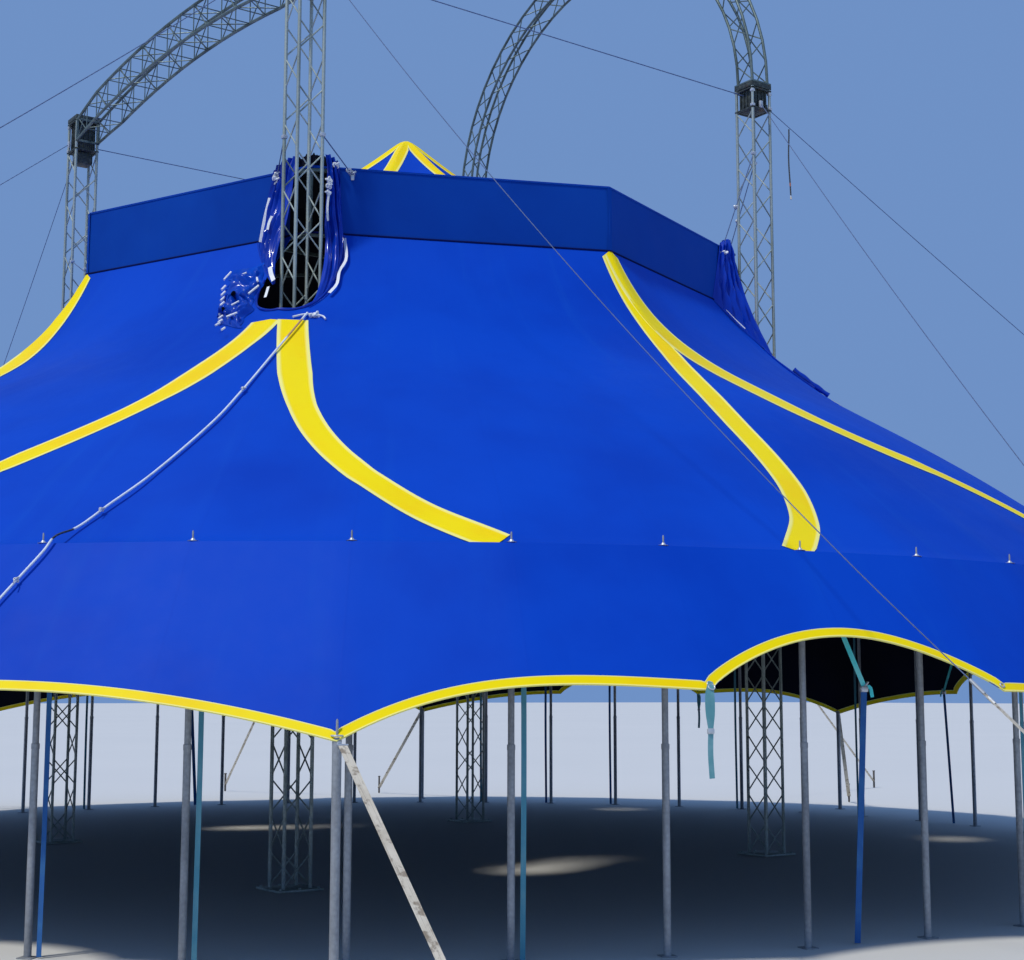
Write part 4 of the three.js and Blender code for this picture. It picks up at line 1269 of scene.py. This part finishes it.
def girder():
    reach, panels = MAST_OFFSET - 0.2203, 16
    sections = []
    for i in range(panels + 1):
        place = 2 * i / panels - 1
        width = MAST_WIDTH + (GIRDER_WIDTH - MAST_WIDTH) * min(1.0, min(i, panels - i) / 2)
        center = Vector((reach * place, -MAST_OFFSET, GIRDER_END + GIRDER_CAMBER * (1 - place ** 2)))
        sections.append(square_section(center, NORTH, UP, width))
    parts = [truss("girder_lattice", sections, lambda panel, face: alternate(panel, face) + "rung",
                   GIRDER_BRACE)]
    for x in (-reach, reach):
        for shift in (-0.19, 0.19):
            parts += [block("end_bar", (x, -MAST_OFFSET, GIRDER_END + shift), (0.02, HEAD_SIDE, 0.04)),
                      block("end_post", (x, -MAST_OFFSET + shift, GIRDER_END), (0.02, 0.04, HEAD_SIDE))]
    dress(join("front_girder_lattice", parts), truss_steel, ["front_girder"])


def arch():
    base, panels = BACK_HEAD[1] + 0.0003, 30
    sections = []
    for i in range(panels + 1):
        turn = math.pi * i / panels
        cos, sin = math.cos(turn), math.sin(turn)
        center = Vector((-MAST_OFFSET * cos, MAST_OFFSET, base + 0.02 + ARCH_RISE * sin))
        along = Vector((MAST_OFFSET * sin, 0, ARCH_RISE * cos)).normalized()
        sections.append(square_section(center, along.cross(NORTH), NORTH, ARCH_WIDTH))
    parts = [truss("arch_lattice", sections, alternate)]
    parts += [block("arch_foot", (x, MAST_OFFSET, base + 0.015), (HEAD_SIDE, HEAD_SIDE, 0.03), 0.005)
              for x in (-MAST_OFFSET, MAST_OFFSET)]
    dress(join("back_arch_lattice", parts), truss_steel, ["back_arch"])


for side in MASTS:
    mast(side)
    hoists(side)
    head(side)
girder()
arch()


# Ties, guys and stakes
def tie_cable(name, x, front, back):
    reach = MAST_OFFSET - 0.2103
    place = np.linspace(0, 1, 13)
    line = np.stack([0 * place + x, reach * (2 * place - 1), front + (back - front) * place], axis=1)
    dress(tube(f"tie_{name}", line, CABLE_RADIUS, 8), cable_steel, [f"tie_cable_{name}"])


def ground_stake(name, place, height, radius):
    r = radius
    profile = [(0, 0.0), (0.6 * r, 0.0), (r, 0.02), (r, height - 0.03), (1.35 * r, height - 0.02),
               (1.4 * r, height - 0.006), (1.1 * r, height), (0, height)]
    dress(turned_part(name, profile, 14, (place.x, place.y)), stake_steel)


def guy(name, route):
    places = route["places"]
    start = places[5].lerp(places[4], 0.32)
    cable = tube(f"{name}_cable", smooth_line(places[:5] + [start], 40), GUY_RADIUS, 8)
    dress(cable, cable_steel, [name])
    dress(ribbon(f"{name}_strap", [start, *places[5:]], 0.06, UP, 0.006), strap_pale)
    fittings = [
        block("lug", route["lug"], (0.04, 0.06, 0.11) if route["along_x"] else (0.06, 0.04, 0.11), 0.008),
        rods("shackle", [[start, start.lerp(places[4], 0.10)]], 0.017),
        rods("ratchet", [[start.lerp(places[5], share) for share in (0.05, 0.15)]], 0.017, 6),
    ]
    dress(join(f"{name}_fittings", fittings), fitting_steel)
    ground_stake(f"{name}_stake", route["stake"], 0.45, 0.026)


tie_cable("right", MAST_OFFSET, 12.15, 12.0)
tie_cable("left", -MAST_OFFSET, 11.85, 11.8)
for side in MASTS:
    guy(f"end_guy_{side}", guy_route(side, 0))
    guy(f"side_guy_{side}", guy_route(side, 1))


# Side poles round the ring, twelve to a quarter
POLE_JOINT = 1.9
SLANTED_STRAP = 4
SLANTED_HEIGHT = 2.47
STRAP_REACH = RING_RADIUS - 0.008
STRAP_TURN = 0.55


def side_poles():
    tall, belt = RING_HEIGHT - 0.003, RING_HEIGHT
    pole = turned_part("pole", [(0, 0.005), (POLE_RADIUS, 0.005), (POLE_RADIUS, POLE_JOINT),
                                (0.039, POLE_JOINT + 0.002), (0.039, POLE_JOINT + 0.05),
                                (0.031, POLE_JOINT + 0.052), (0.031, tall - 0.02), (0.036, tall - 0.018),
                                (0.036, tall), (0, tall)], 16)
    plate = block("pole_foot", (0, 0, 0.005), (0.15, 0.15, 0.01), 0.003)
    pin = turned_part("pin", [(0, belt - 0.002), (0.009, belt - 0.002), (0.009, belt + 0.095),
                              (0.006, belt + 0.108), (0, belt + 0.11)], 10)
    one = join("one_pole", [pole, plate, pin])
    one.data.transform(Matrix.Translation((RING_RADIUS, 0, 0)))
    pad = turned_part("pin_pad", [(0, belt + 0.008), (0.052, belt + 0.008), (0.056, belt + 0.012),
                                  (0.026, belt + 0.018), (0.014, belt + 0.036), (0, belt + 0.036)], 18,
                      (RING_RADIUS, 0))
    dress(copies("ring_pin_pads", pad, [FIRST_POLE + BAY * k for k in range(RING_BAYS)]), fitting_steel)
    for n, quarter in enumerate(QUARTERS):
        poles = copies(f"side_poles_{quarter}", one, [90 * n - 45 + FIRST_POLE + BAY * k for k in range(12)])
        dress(poles, pole_zinc, [f"ring_poles_{quarter}"])
    for pattern in (one, pad):
        bpy.data.objects.remove(pattern)


def pole_straps():
    """Straps from the belt down, beside every second pole and a quarter's last; one is led aside"""
    shaded_cyan, blue, cyan, buckles = [], [], [], []
    for k in range(RING_BAYS):
        place = (k + 6) % 12
        if place % 2 and place != 11:
            continue
        azimuth = FIRST_POLE + BAY * k
        facing = Vector(on_circle(1.0, azimuth, 0.0))

        def strap(line, width):
            return ribbon("pole_strap", line, width, facing, STRAP_THICKNESS)

        def aside(sideways, rise):
            return on_circle(sideways, azimuth + 90, rise)

        top = on_circle(STRAP_REACH, azimuth + STRAP_TURN, RING_HEIGHT - 0.01)
        if place == SLANTED_STRAP:
            buckle = on_circle(STRAP_REACH, azimuth + 3.75, SLANTED_HEIGHT)
            foot = on_circle(STRAP_REACH, azimuth + 2.95, 0.01)
            tail = [buckle, buckle + aside(0.07, 0.02), buckle + aside(0.10, -0.08)]
            cyan.append(strap([top, buckle + 0.03 * UP], 0.055))
            blue.append(strap(smooth_line([buckle, (buckle + foot) / 2 + aside(0.02, 0.3), foot], 12), 0.07))
            cyan.append(strap(smooth_line(tail, 8), 0.04))
            buckles.append(block("buckle", buckle, (0.045, 0.085, 0.06), 0.012, azimuth))
            handle = [buckle - aside(0.04, 0.02), buckle + aside(0.05, 0.07)]
            buckles.append(tube("handle", handle, 0.012, 8))
            continue
        foot = on_circle(STRAP_REACH, azimuth + STRAP_TURN, 0.01)
        # Cyan straps hanging beside the poles take the darker copy of their webbing: painted shade under the
        # eave
        beside = blue if place in (10, 11) else shaded_cyan
        beside.append(strap(smooth_line([top, (top + foot) / 2 + aside(0.012, 0.0), foot], 12), 0.05))
    dress(join("pole_strap_buckles", buckles), fitting_steel)
    dress(join("pole_straps_shaded", shaded_cyan), strap_cyan_shaded)
    dress(join("pole_straps_cyan", cyan), strap_cyan)
    dress(join("pole_straps_blue", blue), strap_blue)


side_poles()
pole_straps()


# Points of the eave
def staked_corner(n):
    """An eave pole, its fittings, and the strap from it to a stake"""
    azimuth, name = FIRST_STAKED + 45 * n, f"staked_corner_{n + 1}"
    reach = float(ring_edge(azimuth)) + (RING_HEIGHT - EAVE_STAKED) * FALL + 0.008
    p = Vector(on_circle(reach, azimuth, 0.0))
    stake = Vector(on_circle(STAKE_RADIUS, azimuth + 4.3, 0.0))
    top = EAVE_STAKED + 0.035
    away = Vector((stake.x - p.x, stake.y - p.y, 0)).normalized()
    cross = away.cross(UP)
    r = EAVE_POLE_RADIUS
    post = turned_part("post", [(0, 0.005), (r, 0.005), (r, top - 0.01), (r - 0.006, top), (0.011, top),
                                (0.011, top + 0.13), (0.007, top + 0.15), (0, top + 0.15)], 18, (p.x, p.y))
    foot = block("post_foot", (p.x, p.y, 0.005), (0.16, 0.16, 0.01), 0.003, azimuth)
    dress(join(f"{name}_pole", [post, foot]), pole_zinc, [name])
    ring = tube("ring", [p + Vector((0.05 * math.cos(a), 0.05 * math.sin(a), top + 0.012))
                         for a in np.linspace(0, 2 * math.pi, 21)], 0.008, 8)
    near = p + away * 0.03 + (top - 0.06) * UP
    far = near + away * 0.095
    link = rods("link", [[near, far + cross * 0.045, far - cross * 0.045, near]], 0.007)
    shackle = block("shackle", p + away * 0.035 + (top - 0.05) * UP, (0.05, 0.04, 0.03), 0.008,
                    math.degrees(math.atan2(away.y, away.x)))
    dress(join(f"{name}_fittings", [ring, link, shackle]), fitting_steel)
    ends = [p + away * 0.12 + (top - 0.065) * UP, stake + 0.13 * UP]
    dress(ribbon(f"{name}_strap", ends, 0.08, UP, 0.007), strap_pale)
    ground_stake(f"{name}_stake", stake, 0.42, 0.022)


def loose_points():
    """Eyelet at each point of the eave that isn't staked; a doubled strap hangs from every second one"""
    straps, rings = [], []
    turn = np.linspace(0, 2 * math.pi, 17)
    for n in range(24):
        if n % 3 == 0:
            continue
        azimuth = FIRST_STAKED + 15 * n
        down = unit(valance(azimuth, 1.0) - valance(azimuth, 0.93))
        around = on_circle(1.0, azimuth + 90, 0.0)
        outward = on_circle(0.62, azimuth, 0.78)
        center = valance(azimuth, 1.0) - 0.055 * down + 0.016 * outward
        circle = np.outer(np.cos(turn), down) + np.outer(np.sin(turn), around)
        rings.append(tube("eyelet", center + 0.024 * circle, 0.008, 8))
        if n % 3 == 2:
            continue
        hook = center + 0.02 * outward
        facing = Vector(on_circle(1.0, azimuth, 0.0))

        def spot(sideways, drop):
            return hook + sideways * around + on_circle(0.05 * min(1.0, 8 * drop), azimuth, -drop)

        def strap(name, places, steps, width):
            straps.append(ribbon(name, smooth_line(places, steps), width, facing, STRAP_THICKNESS))

        for lean in (-0.045, -0.006):
            strap("strap_loop", [hook, spot(lean, 0.10), spot(lean * 1.1, 0.26), spot(-0.025, 0.42)], 16,
                  0.045)
        strap("strap_end", [spot(-0.025, 0.42), spot(-0.03, 0.62), spot(-0.018, 0.84)], 12, 0.05)
        rings.append(block("strap_buckle", spot(-0.025, 0.43), (0.03, 0.065, 0.05), 0.01, azimuth))
        rings.append(tube("strap_ring", center + 0.045 * down + 0.012 * outward + 0.03 * circle, 0.006, 8))
    dress(join("eave_straps", straps), strap_teal)
    dress(join("eave_rings", rings), fitting_steel)


for n in range(8):
    staked_corner(n)
loose_points()

# The steel of the cupola keeps the frame's shape and takes the lattices' finish
for node in ("cupola_frame", "cupola_spokes"):
    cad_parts[node].data.materials.clear()
    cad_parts[node].data.materials.append(truss_steel)


# Floor and light
def studio():
    bpy.ops.mesh.primitive_plane_add(size=900, location=(0, 0, -0.002))
    floor = bpy.context.object
    floor.name = "floor"
    f = Finish("floor_finish")
    tone = f.mix(f.noise(f.place(), 0.08, 3.0), rgb(214, 214, 212), rgb(206, 207, 206))
    floor.data.materials.append(f.surface(base_color=tone, roughness=0.9))
    world = bpy.data.worlds.new("studio")
    world.use_nodes = True
    background = world.node_tree.nodes["Background"].inputs
    background["Color"].default_value = (0.24, 0.43, 0.85, 1)
    background["Strength"].default_value = 0.66
    scene.world = world
    lamp = bpy.data.lights.new("sun", "SUN")
    lamp.energy = 2.42
    lamp.angle = math.radians(6)
    lamp.color = (1.0, 0.95, 0.84)
    light = bpy.data.objects.new("sun", lamp)
    scene.collection.objects.link(light)
    toward = Vector(on_circle(math.cos(math.radians(60)), -82.0, math.sin(math.radians(60))))
    light.rotation_euler = toward.to_track_quat("Z", "Y").to_euler()


studio()
